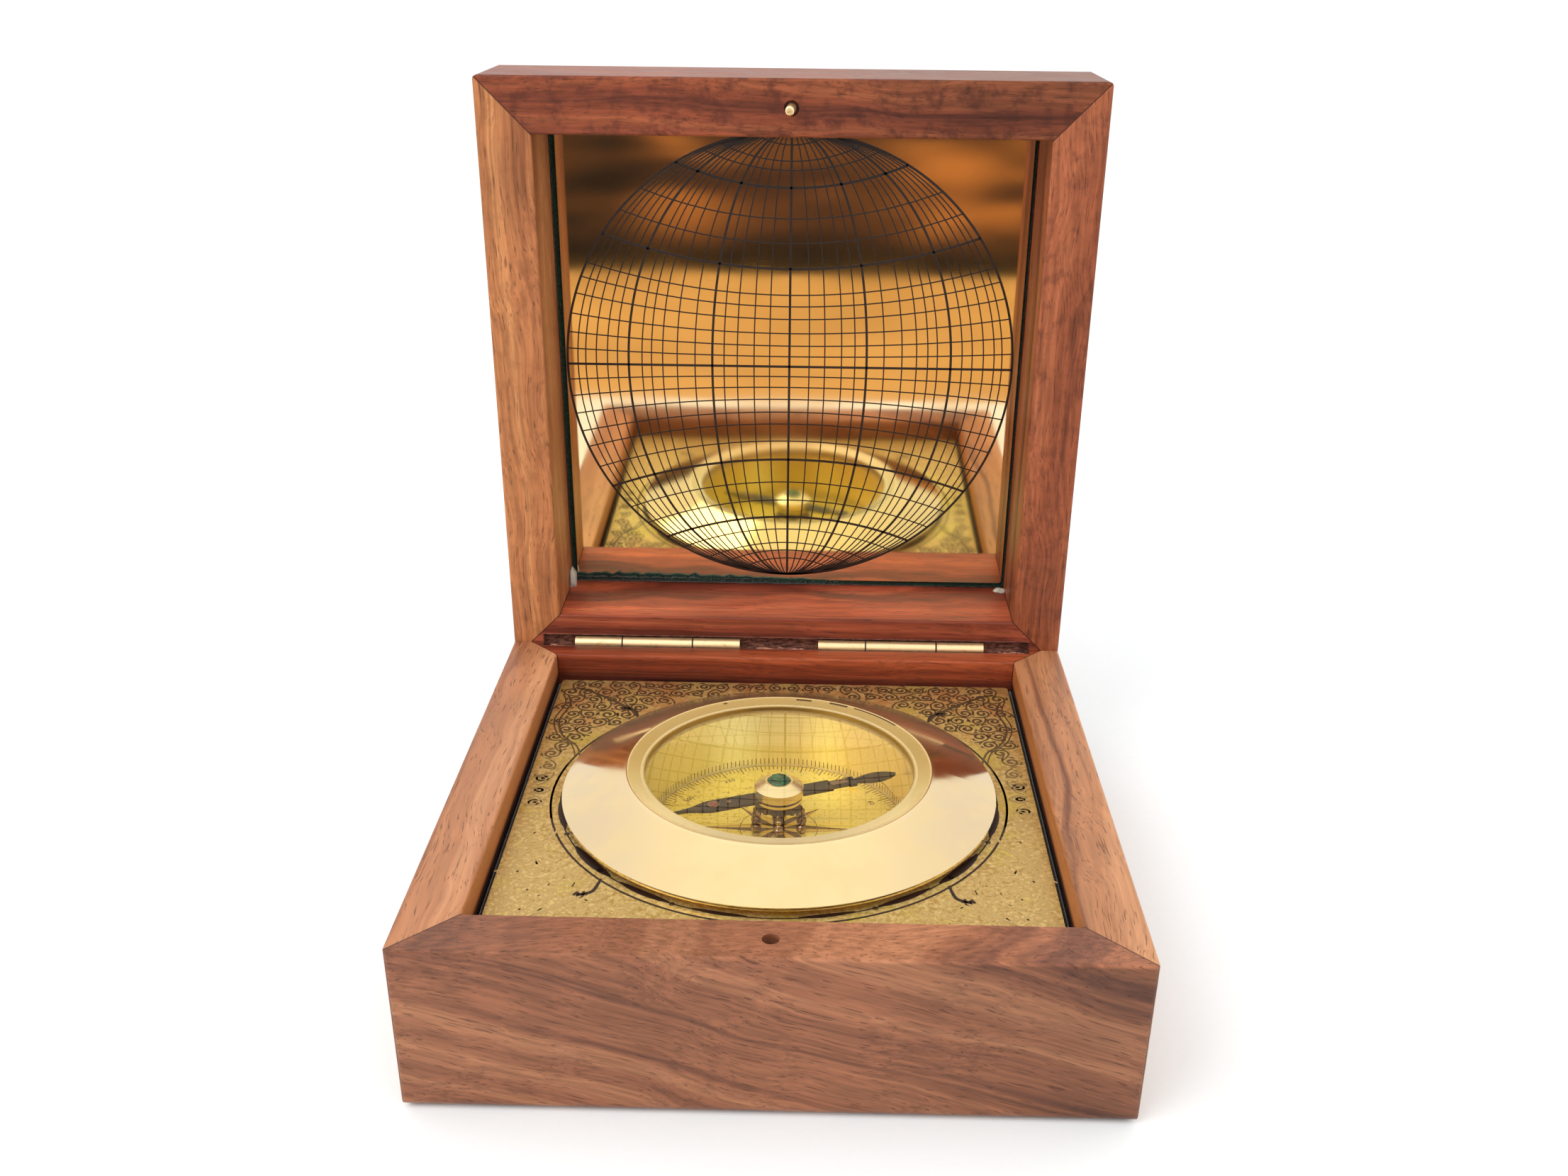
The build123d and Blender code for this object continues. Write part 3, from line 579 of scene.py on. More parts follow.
def drawn_brass():
    """The hinges, pins and brads: drawn, lightly worn, and dark in the joints between knuckles."""
    look = Look("drawn_brass")
    drawn = look.stretched((look.x, look.y, look.z), (0.15, 5, 5), 2.0, 3)
    dirt = look.noise(0.7, 4, 0.6)
    look.color = look.mix(look.range(dirt, 0.55, 0.75, 0.0, 0.6), (255, 228, 176), (210, 166, 106))
    along = look.gap(look.gap(look.x, HINGES_MIDDLE), HINGE_SPREAD)
    radius = look.length(look.less(look.y, HINGE_Y), look.less(look.z, HINGE_Z))
    joint = look.times(look.fade(look.gap(along, KNUCKLE_JOINT), 0.08, 0.2), look.fade(radius, 1.3, 1.5))
    look.cover((48, 30, 20), joint)
    return look.finish(metallic=look.range(joint, 0, 1, 0.9, 0.2),
                       roughness=look.rough(drawn, 0.26, 0.42), normal=look.bump(drawn, 0.006))


def hub_brass():
    """Small turned brass."""
    look = Look("hub_brass")
    turned = look.stretched((look.length(look.x, look.y), look.z, look.x), (6.0, 6.0, 0.0), 1.0, 2)
    return look.finish(
        look.mix(turned, (252, 234, 178), (238, 208, 140)), metallic=0.85,
        roughness=look.rough(turned, 0.2, 0.3), normal=look.bump(turned, 0.002))


def blued_steel(name, cool, warm):
    """Dark steel with a brown bloom."""
    look = Look(name)
    bloom = look.noise(0.45, 3)
    drawn = look.noise(3.0, 2)
    return look.finish(look.mix(look.range(bloom, 0.42, 0.68), cool, warm), metallic=0.5,
                       roughness=look.rough(drawn, 0.34, 0.5), normal=look.bump(drawn, 0.004))


wear(["bezel_ring"], bezel_brass())
wear(["grid_plate"], mirror_brass())
wear(["compass_cup"], cup_brass())
wear(["dial"], dial_brass())
wear(["engraved_plate"], plate_brass())
wear(["needle_hub", "needle_collar", "needle_bearing"], hub_brass())
wear([name for name in nodes if name.startswith("hinge_")] + [
    "latch_pin", "base_leaf_brads", "lid_leaf_brads", "bezel_screws", "pivot_nut"], drawn_brass())
wear(["needle_blade"], blued_steel("needle_steel", (36, 36, 34), (74, 56, 34)))
wear(["pivot_stand", "pivot_pin"], blued_steel("stand_steel", (60, 50, 44), (122, 94, 70)))
wear(["needle_inlays"], two_tone(
    "inlay_brass", 2.5, 3, (160, 134, 106), (118, 90, 68), metallic=0.8, roughness=0.4))
wear(["needle_gem"], two_tone(
    "gem_glass", 1.3, 2, (1, 48, 28), (6, 108, 70), spread=(0.4, 0.65),
    roughness=0.15, ior=1.5, specular_ior_level=0.12))
wear(["crystal_gasket"], two_tone("gasket_rubber", 2.0, 2, (176, 142, 76), (206, 172, 104), roughness=0.6))
wear(["crystal"], Look("crystal_glass").finish(
    (1, 1, 1, 1), roughness=0.0, ior=1.46, transmission_weight=1.0))

# Only the camera looks through the crystal: light reaches the dial as through a clean thin glass
nodes["crystal"].visible_shadow = False
nodes["crystal"].visible_diffuse = False
nodes["crystal"].visible_glossy = False


# Drawing with thin strips and patches, which reach from below their face to above it
STROKE_LOW = -0.01
STROKE_HIGH = 0.02
CURVE_STEPS = 8


class Strokes:
    """Flat strips and patches of one colour on a face, gathered into one closed-up mesh.

    place turns (across, up, height) in millimetres on the face into a point on the object.
    """

    def __init__(self, place):
        self.place = place
        self.vertices = []
        self.faces = []

    def add(self, vertices, faces):
        start = len(self.vertices)
        self.vertices += vertices
        self.faces += [tuple(start + index for index in face) for face in faces]

    def line(self, points, width, high=STROKE_HIGH, closed=False):
        """A strip along points. width is one number, or a function of the share of the way along."""
        count = len(points)
        ring = []
        for index, (x, y) in enumerate(points):
            before = points[index - 1] if index or closed else points[0]
            after = points[(index + 1) % count] if index + 1 < count or closed else points[-1]
            dx, dy = after[0] - before[0], after[1] - before[1]
            span = hypot(dx, dy) or 1.0
            half = (width(index / (count - 1)) if callable(width) else width) / 2
            across = (-dy / span * half, dx / span * half)
            for side, height in ((1, STROKE_LOW), (-1, STROKE_LOW), (-1, high), (1, high)):
                ring.append(self.place(x + side * across[0], y + side * across[1], height))
        faces = []
        for index in range(count if closed else count - 1):
            faces += between_rings(4 * index, 4 * ((index + 1) % count), 4)
        if not closed:
            last = 4 * (count - 1)
            faces += [(3, 2, 1, 0), (last, last + 1, last + 2, last + 3)]
        self.add(ring, faces)

    def patch(self, points, high=STROKE_HIGH):
        """A filled outline."""
        count = len(points)
        vertices = [self.place(x, y, height) for height in (STROKE_LOW, high) for x, y in points]
        ends = [tuple(reversed(range(count))), tuple(range(count, 2 * count))]
        self.add(vertices, ends + between_rings(0, count, count))

    def circle(self, radius, width, high, steps, centre=(0, 0)):
        points = [polar(radius, 360 * step / steps, centre) for step in range(steps)]
        self.line(points, width, high, closed=True)

    def letters(self, text, size, centre, turn):
        """Plain numerals or a letter, upright when turn is 0."""
        curve = bpy.data.curves.new("letters", "FONT")
        curve.body = text
        curve.size = size
        curve.align_x = "CENTER"
        curve.align_y = "CENTER"
        curve.extrude = 0.5
        curve.resolution_u = 2
        carrier = bpy.data.objects.new("letters", curve)
        shape = bpy.data.meshes.new_from_object(carrier)
        shape.transform(Matrix.Rotation(radians(turn), 4, "Z"))
        vertices = []
        for x, y, z in (vertex.co for vertex in shape.vertices):
            vertices.append(self.place(x + centre[0], y + centre[1], STROKE_HIGH if z > 0 else STROKE_LOW))
        self.add(vertices, [tuple(polygon.vertices) for polygon in shape.polygons])
        bpy.data.objects.remove(carrier)
        bpy.data.curves.remove(curve)
        bpy.data.meshes.remove(shape)

    def finish(self, name, material, body="base", slot="black_enamel"):
        new_object(name, self.vertices, self.faces, material, body)


def on_top(level):
    """For Strokes, the places on a level face at a height."""
    return lambda x, y, height: (x, y, level + height)


def polar(radius, turn, centre=(0, 0)):
    return (centre[0] + radius * cos(radians(turn)), centre[1] + radius * sin(radians(turn)))


def arc(radius, start, end, step=3.0):
    """Points along an arc, about step degrees apart."""
    count = max(2, int(abs(end - start) / step) + 1)
    return [polar(radius, start + (end - start) * i / count) for i in range(count + 1)]


def curve_through(points):
    """A smooth line through points by the uniform Catmull-Rom rule, in CURVE_STEPS from one to the next."""
    ends = [points[0]] + list(points) + [points[-1]]
    line = []
    for index in range(1, len(ends) - 2):
        p0, p1, p2, p3 = [Vector(ends[index + k]) for k in (-1, 0, 1, 2)]
        for step in range(CURVE_STEPS):
            t = step / CURVE_STEPS
            line.append((
                p1 + (p2 - p0) * (t / 2) + (2 * p0 - 5 * p1 + 4 * p2 - p3) * (t * t / 2)
                + (3 * p1 - p0 - 3 * p2 + p3) * (t ** 3 / 2)
            )[:])
    return line + [tuple(points[-1])]


# Globe grid printed on the lid's mirror
GLOBE_RADIUS = 39.75
GLOBE_CENTRE = (-0.14, 73.6)
BOLD_MERIDIANS = (13.8, 28.8)
FINE_MERIDIANS = (3.54, 6.32, 9.32, 11.7, 16.9, 20.1, 22.7, 24.7, 26.4, 30.8, 32.6, 34.6, 36.5, 37.9)
BOLD_NORTH = (17.1, 30.6)
FINE_NORTH = (1.8, 3.7, 5.9, 8.4, 10.6, 12.6, 21.4, 25.5, 33.4, 34.9, 37.5)
BOLD_SOUTH = (17.2, 28.3)
FINE_SOUTH = (1.8, 3.75, 5.95, 8.3, 10.5, 13.7, 21.5, 25.0, 30.7, 33.4, 34.9, 36.5)
# Width and height of the printed lines
BOLD_PEN = (0.42, 0.024)
MERIDIAN_PEN = (0.22, 0.02)
PARALLEL_PEN = (0.22, 0.016)
MERIDIAN_STEPS = 72
PARALLEL_STEPS = 24
PARALLEL_EASE = 0.95


def globe_grid():
    """Meridians are half ellipses. Parallels are arcs from limb to limb that bend away from the equator."""
    def place(across, up, height):
        return (GLOBE_CENTRE[0] + across, GRID_FACE - height, GLOBE_CENTRE[1] + up)

    lines = Strokes(place)
    radius = GLOBE_RADIUS
    lines.circle(radius, *BOLD_PEN, 160)
    lines.line([(-radius, 0), (radius, 0)], *BOLD_PEN)

    def meridian(across, pen):
        points = [polar(radius, 90 - 180 * step / MERIDIAN_STEPS) for step in range(MERIDIAN_STEPS + 1)]
        lines.line([(x * across / radius, y) for x, y in points], *pen)

    def parallel(height, pen):
        share = abs(height) / radius
        limb = radians(90 * (share - PARALLEL_EASE * share ** 3 * (1 - share)))
        half, rise = radius * cos(limb), radius * sin(limb) - abs(height)
        bend = (half ** 2 + rise ** 2) / (2 * rise)
        sweep = asin(half / bend)
        points = []
        for step in range(-PARALLEL_STEPS, PARALLEL_STEPS + 1):
            swing = sweep * step / PARALLEL_STEPS
            up = abs(height) + bend - bend * cos(swing)
            points.append((bend * sin(swing), up if height > 0 else -up))
        lines.line(points, *pen)

    meridian(0, BOLD_PEN)
    for sign, bold, fine in ((1, BOLD_NORTH, FINE_NORTH), (-1, BOLD_SOUTH, FINE_SOUTH)):
        for across in BOLD_MERIDIANS:
            meridian(sign * across, BOLD_PEN)
        for across in FINE_MERIDIANS:
            meridian(sign * across, MERIDIAN_PEN)
        for height in bold:
            parallel(sign * height, BOLD_PEN)
        for height in fine:
            parallel(sign * height, PARALLEL_PEN)

    ink = two_tone("grid_ink", 1.2, 3, (18, 8, 6), (42, 22, 14), roughness=0.45)
    lines.finish("globe_grid_lines", ink, "lid")


globe_grid()


# Engraving on the plate. Each entry below stands for one quarter and is mirrored to the other three.
RING_SEGMENTS = ((4.5, 20, 1.1), (29, 46, 1.5), (49.5, 64.5, 1.1), (70.5, 84, 0.8))
RING_RADIUS = 34.15
RING_LUGS = (24.5, 47.8, 67.5)
BORDER_RADIUS = 35.8
# Radius, start, width and height of each border line: an engraved circle at BORDER_RADIUS, and painted shade
# just outside the bezel's edge
BORDER_AND_SHADE_LINES = ((BORDER_RADIUS, -14, 0.36, 0.022), (34.3, -12, 0.22, 0.02))
HOOK = ((25.0, 25.2), (25.3, 26.8), (25.8, 28.4), (26.9, 29.2), (28.0, 29.4))
HOOK_LEAF = ((26.2, 28.9), (27.0, 28.4), (28.1, 28.6), (28.6, 29.4), (27.6, 30.3), (26.6, 29.8))
CARTOUCHE = ((34.0, 11.6), (35.2, 15.5), (38.0, 19.0), (39.4, 24.5), (38.4, 30.5), (39.3, 34.5))
CARTOUCHE_TOP = ((37.4, 37.4), (33.6, 34.8), (30.4, 32.2), (27.9, 29.6), (26.4, 26.8))
CARTOUCHE_GAP = 0.9
# Strips that cross lie at different heights
ENGRAVED_HIGH = 0.018
RING_HIGH = 0.03
HOOK_HIGH = 0.026
LUG_CIRCLE = (0.3, 0.22)
# Scrolls: rows from the back edge inwards down to SCROLL_FOOT, and sparse curls along the sides
SCROLL_TOP = 38.4
SCROLL_EDGE = 38.9
SCROLL_FOOT = 15.0
SCROLL_ROW = 2.9
SCROLL_PITCH = 3.2
SCROLL_RADIUS = (1.15, 1.45)
SCROLL_WIDTH = 0.42
CURL_TAIL = ((1.75, 62), (1.3, 36))
CURL_TURN = 504
CURL_STEPS = 19
SIDE_CURLS = ((38.0, 12.2, 1.4), (37.8, 8.0, 1.2), (38.2, 4.2, 1.3), (38.0, 0.2, 1.0), (38.3, -3.6, 1.2))


def engraving():
    """Scrolls in the corners and along the sides, a ring of dark segments round the bezel, four hooks, and a
    line of painted shade just outside the bezel's edge.
    """
    random.seed(7)
    dark, scroll = Strokes(on_top(PLATE_TOP)), Strokes(on_top(PLATE_TOP))
    quarters = [(x, y) for x in (1, -1) for y in (1, -1)]

    def in_quarters(strokes, points, width, high):
        for hand_x, hand_y in quarters:
            strokes.line([(hand_x * x, hand_y * y) for x, y in points], width, high)

    for begin, end, width in RING_SEGMENTS:
        swell = (lambda share, w=width: w * (0.25 + 0.75 * sin(pi * share) ** 0.6))
        in_quarters(dark, arc(RING_RADIUS, begin, end), swell, RING_HIGH)
    for turn in RING_LUGS:
        x, y = polar(RING_RADIUS + 0.2, 90 - turn)
        for hand_x, hand_y in quarters:
            dark.circle(*LUG_CIRCLE, RING_HIGH, 10, (hand_x * x, hand_y * y))
    in_quarters(dark, curve_through(HOOK), lambda share: 0.4 + 0.35 * share, HOOK_HIGH)
    for hand_x, hand_y in quarters:
        leaf = [(hand_x * x, hand_y * y) for x, y in HOOK_LEAF]
        dark.patch(leaf if hand_x * hand_y > 0 else leaf[::-1])
    # An engraved circle, and a line of painted shade under the bezel's overhanging edge
    for radius, begin, width, high in BORDER_AND_SHADE_LINES:
        in_quarters(dark, arc(radius, begin, 90), width, high)

    def leaf(root, turn, length, bend):
        points = [polar(length * step / 4, turn + bend * step / 4, root) for step in range(5)]
        swell = (lambda share: 0.1 + 0.34 * sin(pi * min(1, share * 1.15)))
        in_quarters(scroll, points, swell, ENGRAVED_HIGH + 0.004)

    def curl(centre, radius):
        """A volute that winds in from its rim, with a tail towards its neighbour, and leaves round it."""
        hand, start = choice((-1, 1)), uniform(0, 360)
        points = [polar(radius * reach, start - hand * swing, centre) for reach, swing in CURL_TAIL]
        for step in range(CURL_STEPS + 1):
            share = step / CURL_STEPS
            points.append(polar(radius * (1 - 0.85 * share), start + hand * CURL_TURN * share, centre))
        in_quarters(scroll, points, lambda share: SCROLL_WIDTH * (0.7 + 0.7 * share), ENGRAVED_HIGH)
        for step in range(3):
            turn = start + hand * (70 + 95 * step) + uniform(-20, 20)
            length = radius * uniform(0.6, 0.95)
            leaf(polar(radius * 1.02, turn, centre), turn + hand * 40, length, hand * 60)

    row = 0
    while SCROLL_TOP - row * SCROLL_ROW > SCROLL_FOOT:
        y = SCROLL_TOP - row * SCROLL_ROW
        for column in range(int(SCROLL_EDGE / SCROLL_PITCH) + 1):
            x = SCROLL_PITCH * (column + (0.5 if row % 2 == 0 else 0.95)) + uniform(-0.25, 0.25)
            radius = uniform(*SCROLL_RADIUS)
            if x < SCROLL_EDGE and hypot(x, y) > BORDER_RADIUS + radius + 0.3:
                curl((x, y), radius)
        row += 1
    for x, y, radius in SIDE_CURLS:
        curl((x, y), radius)
    for points in (CARTOUCHE, CARTOUCHE_TOP):
        for inset in (0.0, CARTOUCHE_GAP):
            line = [(x - inset, y - inset * 0.4) for x, y in curve_through(points)]
            in_quarters(scroll, line, 0.36 if inset else 0.26, ENGRAVED_HIGH + 0.008)

    dark.finish("plate_ring_inlay_and_shade", two_tone("ring_ink_and_shade", 0.8, 3, (20, 10, 10), (52, 28, 20), roughness=0.4))
    look = Look("engraving_ink")
    worn = look.plus(look.range(look.y, -14, 22, 0.86, 0.02), look.times(look.noise(0.35, 3), 0.14))
    color = look.mix(look.math("MINIMUM", worn, 0.94), (50, 18, 14), (200, 168, 104))
    scroll.finish("plate_engraving", look.finish(color, metallic=0.2, roughness=0.5))


engraving()


# Dial markings
ROSE_RADIUS = 12.7
ROSE_SHORT_RADIUS = 9.0
ROSE_WAIST = 3.0
TICK_INSIDE = 19.4
TICK_OUTSIDE = 20.7
LONG_TICK = 0.8
NUMBER_RADIUS = 17.3
NUMBER_SIZE = 1.35
LETTER_RADIUS = 14.4
LETTER_SIZE = 2.2
TICK_WIDTH = 0.12
LONG_TICK_WIDTH = 0.16
ROSE_PEN = 0.08
DIAL_CIRCLES = ((TICK_OUTSIDE, 0.12), (6.2, 0.1))
# Heights of the marks that cross
MARK_HIGH = 0.016
CIRCLE_HIGH = 0.014
FLAT_HIGH = 0.012


def dial_marks():
    """A degree scale with numerals, circles and a rose of eight half-shaded points."""
    ink, pale = Strokes(on_top(DIAL_TOP)), Strokes(on_top(DIAL_TOP))
    for degree in range(0, 360, 2):
        long = degree % 10 == 0
        inside, width = (TICK_INSIDE - LONG_TICK, LONG_TICK_WIDTH) if long else (TICK_INSIDE, TICK_WIDTH)
        ink.line([polar(inside, degree), polar(TICK_OUTSIDE, degree)], width, MARK_HIGH)
    for radius, width in DIAL_CIRCLES:
        ink.circle(radius, width, CIRCLE_HIGH, 120)
    for degree in range(30, 361, 30):
        ink.letters(str(degree), NUMBER_SIZE, polar(NUMBER_RADIUS, 90 - degree), -degree)
    for letter, degree in (("N", 0), ("E", 90), ("S", 180), ("W", 270)):
        ink.letters(letter, LETTER_SIZE, polar(LETTER_RADIUS, 90 - degree), -degree)
    for index in range(8):
        turn = 90 + 45 * index
        tip = polar(ROSE_SHORT_RADIUS if index % 2 else ROSE_RADIUS, turn)
        left, right = polar(ROSE_WAIST, turn + 22.5), polar(ROSE_WAIST, turn - 22.5)
        ink.patch([(0, 0), tip, left], FLAT_HIGH)
        pale.patch([(0, 0), right, tip], FLAT_HIGH)
        ink.line([(0, 0), tip], ROSE_PEN, MARK_HIGH)
        ink.line([tip, right], ROSE_PEN, MARK_HIGH)

    brown = two_tone("dial_ink", 0.9, 3, (92, 64, 26), (134, 98, 42), metallic=0.3, roughness=0.45)
    ink.finish("dial_markings", brown)
    amber = two_tone("rose_tint", 0.7, 3, (240, 190, 70), (228, 206, 96), metallic=0.6, roughness=0.35)
    pale.finish("dial_rose_tint", amber, slot="dial_brass")


dial_marks()


# Graduations at the foot of the well's wall, and slots with a dark filling in the bezel's lip
WALL_TICKS = (0.25, 1.35)
WALL_TICK_STEP = 2
WALL_TICK_WIDTH = 0.14
HAIRLINE_WIDTH = 0.14
WALL_HAIRLINE = ((39.5, 16.5), (33.0, 16.2), (26.5, 15.7))
LIP_LOW = 26.3
LIP_RISE = 0.6
LIP_SLOTS = (
    (77.8, 84.2, 23.2, 0.4), (62.0, 70.0, 23.35, 0.4), (37.0, 59.0, 23.45, 0.26), (113.7, 115.3, 23.2, 0.34),
)


def wall_marks():
    """Short upright ticks all round, and one dark hairline."""
    def place(turn, z, height):
        return (*polar(BEZEL_BORE - height, turn), z)

    ink = Strokes(place)
    half = degrees(WALL_TICK_WIDTH / 2 / BEZEL_BORE)
    low, high = (DIAL_TOP + rise for rise in WALL_TICKS)
    for turn in range(0, 360, WALL_TICK_STEP):
        start, end = turn - half, turn + half
        ink.patch([(start, low), (end, low), (end, high), (start, high)], MARK_HIGH)
    above = [(turn, z + HAIRLINE_WIDTH) for turn, z in WALL_HAIRLINE[:-1]]
    ink.patch([*WALL_HAIRLINE, *reversed(above)])
    brown = two_tone("wall_ink", 0.9, 3, (104, 76, 34), (140, 108, 52), metallic=0.3, roughness=0.45)
    ink.finish("wall_graduations", brown)


def lip_slots():
    """Slots for the key that turns the ring over the glass."""
    def place(x, y, height):
        return (x, y, LIP_LOW + (hypot(x, y) - BEZEL_BORE) * LIP_RISE / (BEZEL_PEAK - BEZEL_BORE) + height)

    slots = Strokes(place)
    for begin, end, radius, width in LIP_SLOTS:
        slots.line(arc(radius, begin, end, step=1.5), width, FLAT_HIGH)
    slots.finish("lip_slots", two_tone("slot_filling", 1.5, 2, (60, 36, 16), (104, 70, 34), roughness=0.5))


wall_marks()
lip_slots()


# Beads threaded on the legs of the pivot stand, and the balls that they end in
LEG_COUNT = 6
LEG_ROOT = (3.12, 1.72)
LEG_TOE = (4.2, 2.4)
LEG_ROOT_DROP = 1.2
LEG_TOE_RISE = 0.6
LEG_BOW = 0.7
LEG_BEADS = ((0.16, 0.46), (0.38, 0.54), (0.6, 0.46), (1.0, 0.86))


def unit_ball(fineness):
    """Vertices and faces of a ball about the origin."""
    ball = bmesh.new()
    bmesh.ops.create_icosphere(ball, subdivisions=fineness, radius=1.0)
    vertices = [tuple(vertex.co) for vertex in ball.verts]
    faces = [tuple(vertex.index for vertex in face.verts) for face in ball.faces]
    ball.free()
    return vertices, faces


def stand_beads():
    """Three beads on each bowed leg, and a ball for its foot."""
    ball, ball_faces = unit_ball(2)
    vertices, faces = [], []
    root, toe = Vector((*LEG_ROOT, STAND_TOP - LEG_ROOT_DROP)), Vector((*LEG_TOE, DIAL_TOP + LEG_TOE_RISE))
    for leg in range(LEG_COUNT):
        swing = radians(360 * (leg + 0.5) / LEG_COUNT)
        for share, size in LEG_BEADS:
            x, y, z = root.lerp(toe, share)
            bow = 4 * LEG_BOW * share * (1 - share)
            centre = ((x + bow) * cos(swing), (y + bow) * sin(swing), max(z, DIAL_TOP + size + 0.02))
            start = len(vertices)
            vertices += [tuple(centre[k] + size * point[k] for k in range(3)) for point in ball]
            faces += [tuple(start + index for index in face) for face in ball_faces]
    steel = two_tone("bead_steel", 0.9, 2, (104, 80, 60), (196, 162, 124), spread=(0.35, 0.65),
                     metallic=0.9, roughness=0.2)
    new_object("stand_beads", vertices, faces, steel, "base", smooth=True)


stand_beads()


# Red stone in the needle's round inlay
STONE_RADIUS = 0.55
STONE_HEIGHT = 0.28
NEEDLE_TURN = 21.8
STONE_ALONG = -10.9
STONE_STEPS = 20
STONE_LEVELS = 5


def inlay_stone():
    """A low dome of red-brown stone, ringed by the round inlay."""
    x, y = polar(STONE_ALONG, NEEDLE_TURN)
    base = INLAY_TOP - 0.02
    steps, levels = STONE_STEPS, STONE_LEVELS
    vertices, faces = [], [tuple(reversed(range(steps)))]
    for level in range(levels):
        swing = radians(90 * level / levels)
        for step in range(steps):
            around = polar(STONE_RADIUS * cos(swing), 360 * step / steps, (x, y))
            vertices.append((*around, base + STONE_HEIGHT * sin(swing)))
        if level:
            faces += between_rings((level - 1) * steps, level * steps, steps)
    vertices.append((x, y, base + STONE_HEIGHT))
    top = (levels - 1) * steps
    faces += [(top + step, top + (step + 1) % steps, levels * steps) for step in range(steps)]
    stone = two_tone("inlay_stone", 2.0, 3, (110, 34, 22), (160, 60, 34), roughness=0.12)
    new_object("needle_inlay_stone", vertices, faces, stone, "needle", smooth=True)


inlay_stone()


# Felt. Heights are millimetres above the sheet's back.
FELT_GAP = 0.1
FELT_CURL = 1.1
FELT_STEPS = 72
BASE_FELT_STEPS = 24
BASE_FELT_HOLE = 22.3
FIBRE_REACH = 0.5
FIBRE_LENGTH = (0.25, 0.75)
FIBRE_RADIUS = (0.015, 0.03)


def felt_material(name, dark, light):
    look = Look(name)
    tuft = look.noise(2.4, 4, 0.7)
    look.color = look.mix(look.range(tuft, 0.3, 0.7), dark, light)
    look.shade(look.range(look.noise(0.2, 2), 0.3, 0.7, 0.8, 1.2))
    return look.finish(roughness=1.0, sheen_weight=0.6, sheen_roughness=0.4, normal=look.bump(tuft, 0.12))


def square_loop(low, high, inset, steps, jitter, seed):
    """Points round a rectangle, moved in or out a little by noise."""
    corners = [(low[0], low[1]), (high[0], low[1]), (high[0], high[1]), (low[0], high[1])]
    middle = [(low[k] + high[k]) / 2 for k in range(2)]
    half = [(high[k] - low[k]) / 2 for k in range(2)]
    points = []
    for start, end in zip(corners, corners[1:] + corners[:1]):
        for step in range(steps):
            x, y = [start[k] + (end[k] - start[k]) * (step / steps) for k in range(2)]
            broad = noise.noise(Vector((x * 0.9, y * 0.9, seed)))
            fine = noise.noise(Vector((x * 3.1, y * 3.1, seed + 5)))
            pull = inset - jitter * (broad + 0.6 * fine)
            points.append(tuple(m + (p - m) * (1 - pull / h) for p, m, h in zip((x, y), middle, half)))
    return points


def felt_sheet(name, place, rings, material, body, hollow=False):
    """A closed sheet of felt from rings of points, from its back round to its front.

    A ring's height is one number, or a list with one number for each point.
    In a hollow sheet, the last ring joins the first one.
    """
    vertices, faces = [], []
    count = len(rings[0][0])
    for points, height in rings:
        heights = height if isinstance(height, list) else [height] * count
        vertices += [place(x, y, level) for (x, y), level in zip(points, heights)]
    for ring in range(len(rings) if hollow else len(rings) - 1):
        faces += between_rings(ring * count, (ring + 1) % len(rings) * count, count)
    if not hollow:
        faces.append(tuple(reversed(range(count))))
        faces.append(tuple(range(len(vertices) - count, len(vertices))))
    return new_object(name, vertices, faces, material, body, smooth=True)


def fuzz(name, place, points, heights, lean, material, body, count, seed):
    """Loose fibres that stand up out of a strip of felt."""
    random.seed(seed)
    vertices, faces = [], []
    for _ in range(count):
        x, y = choice(points)
        x += uniform(-FIBRE_REACH, FIBRE_REACH)
        y += uniform(-FIBRE_REACH, FIBRE_REACH)
        length = uniform(*FIBRE_LENGTH)
        dx, dy = [uniform(-lean, lean) * length for _ in range(2)]
        rise = uniform(0.2, 1.0) * length
        base = uniform(*heights)
        half = uniform(*FIBRE_RADIUS)
        start = len(vertices)
        for share, radius, level in ((0.0, half, base), (0.5, half * 0.8, base + rise * 0.65)):
            for turn in (0, 120, 240):
                vertices.append(place(*polar(radius, turn, (x + dx * share, y + dy * share)), level))
        vertices.append(place(x + dx, y + dy, base + rise))
        faces += between_rings(start, start + 3, 3)
        faces += [(start + 3 + k, start + 3 + (k + 1) % 3, start + 6) for k in range(3)]
        faces.append((start + 2, start + 1, start))
    new_object(name, vertices, faces, material, body, smooth=True)


def way(value, start, end):
    """How far a value is on its way from start to end, from 0 to 1."""
    return max(0.0, min(1.0, (value - start) / (end - start)))


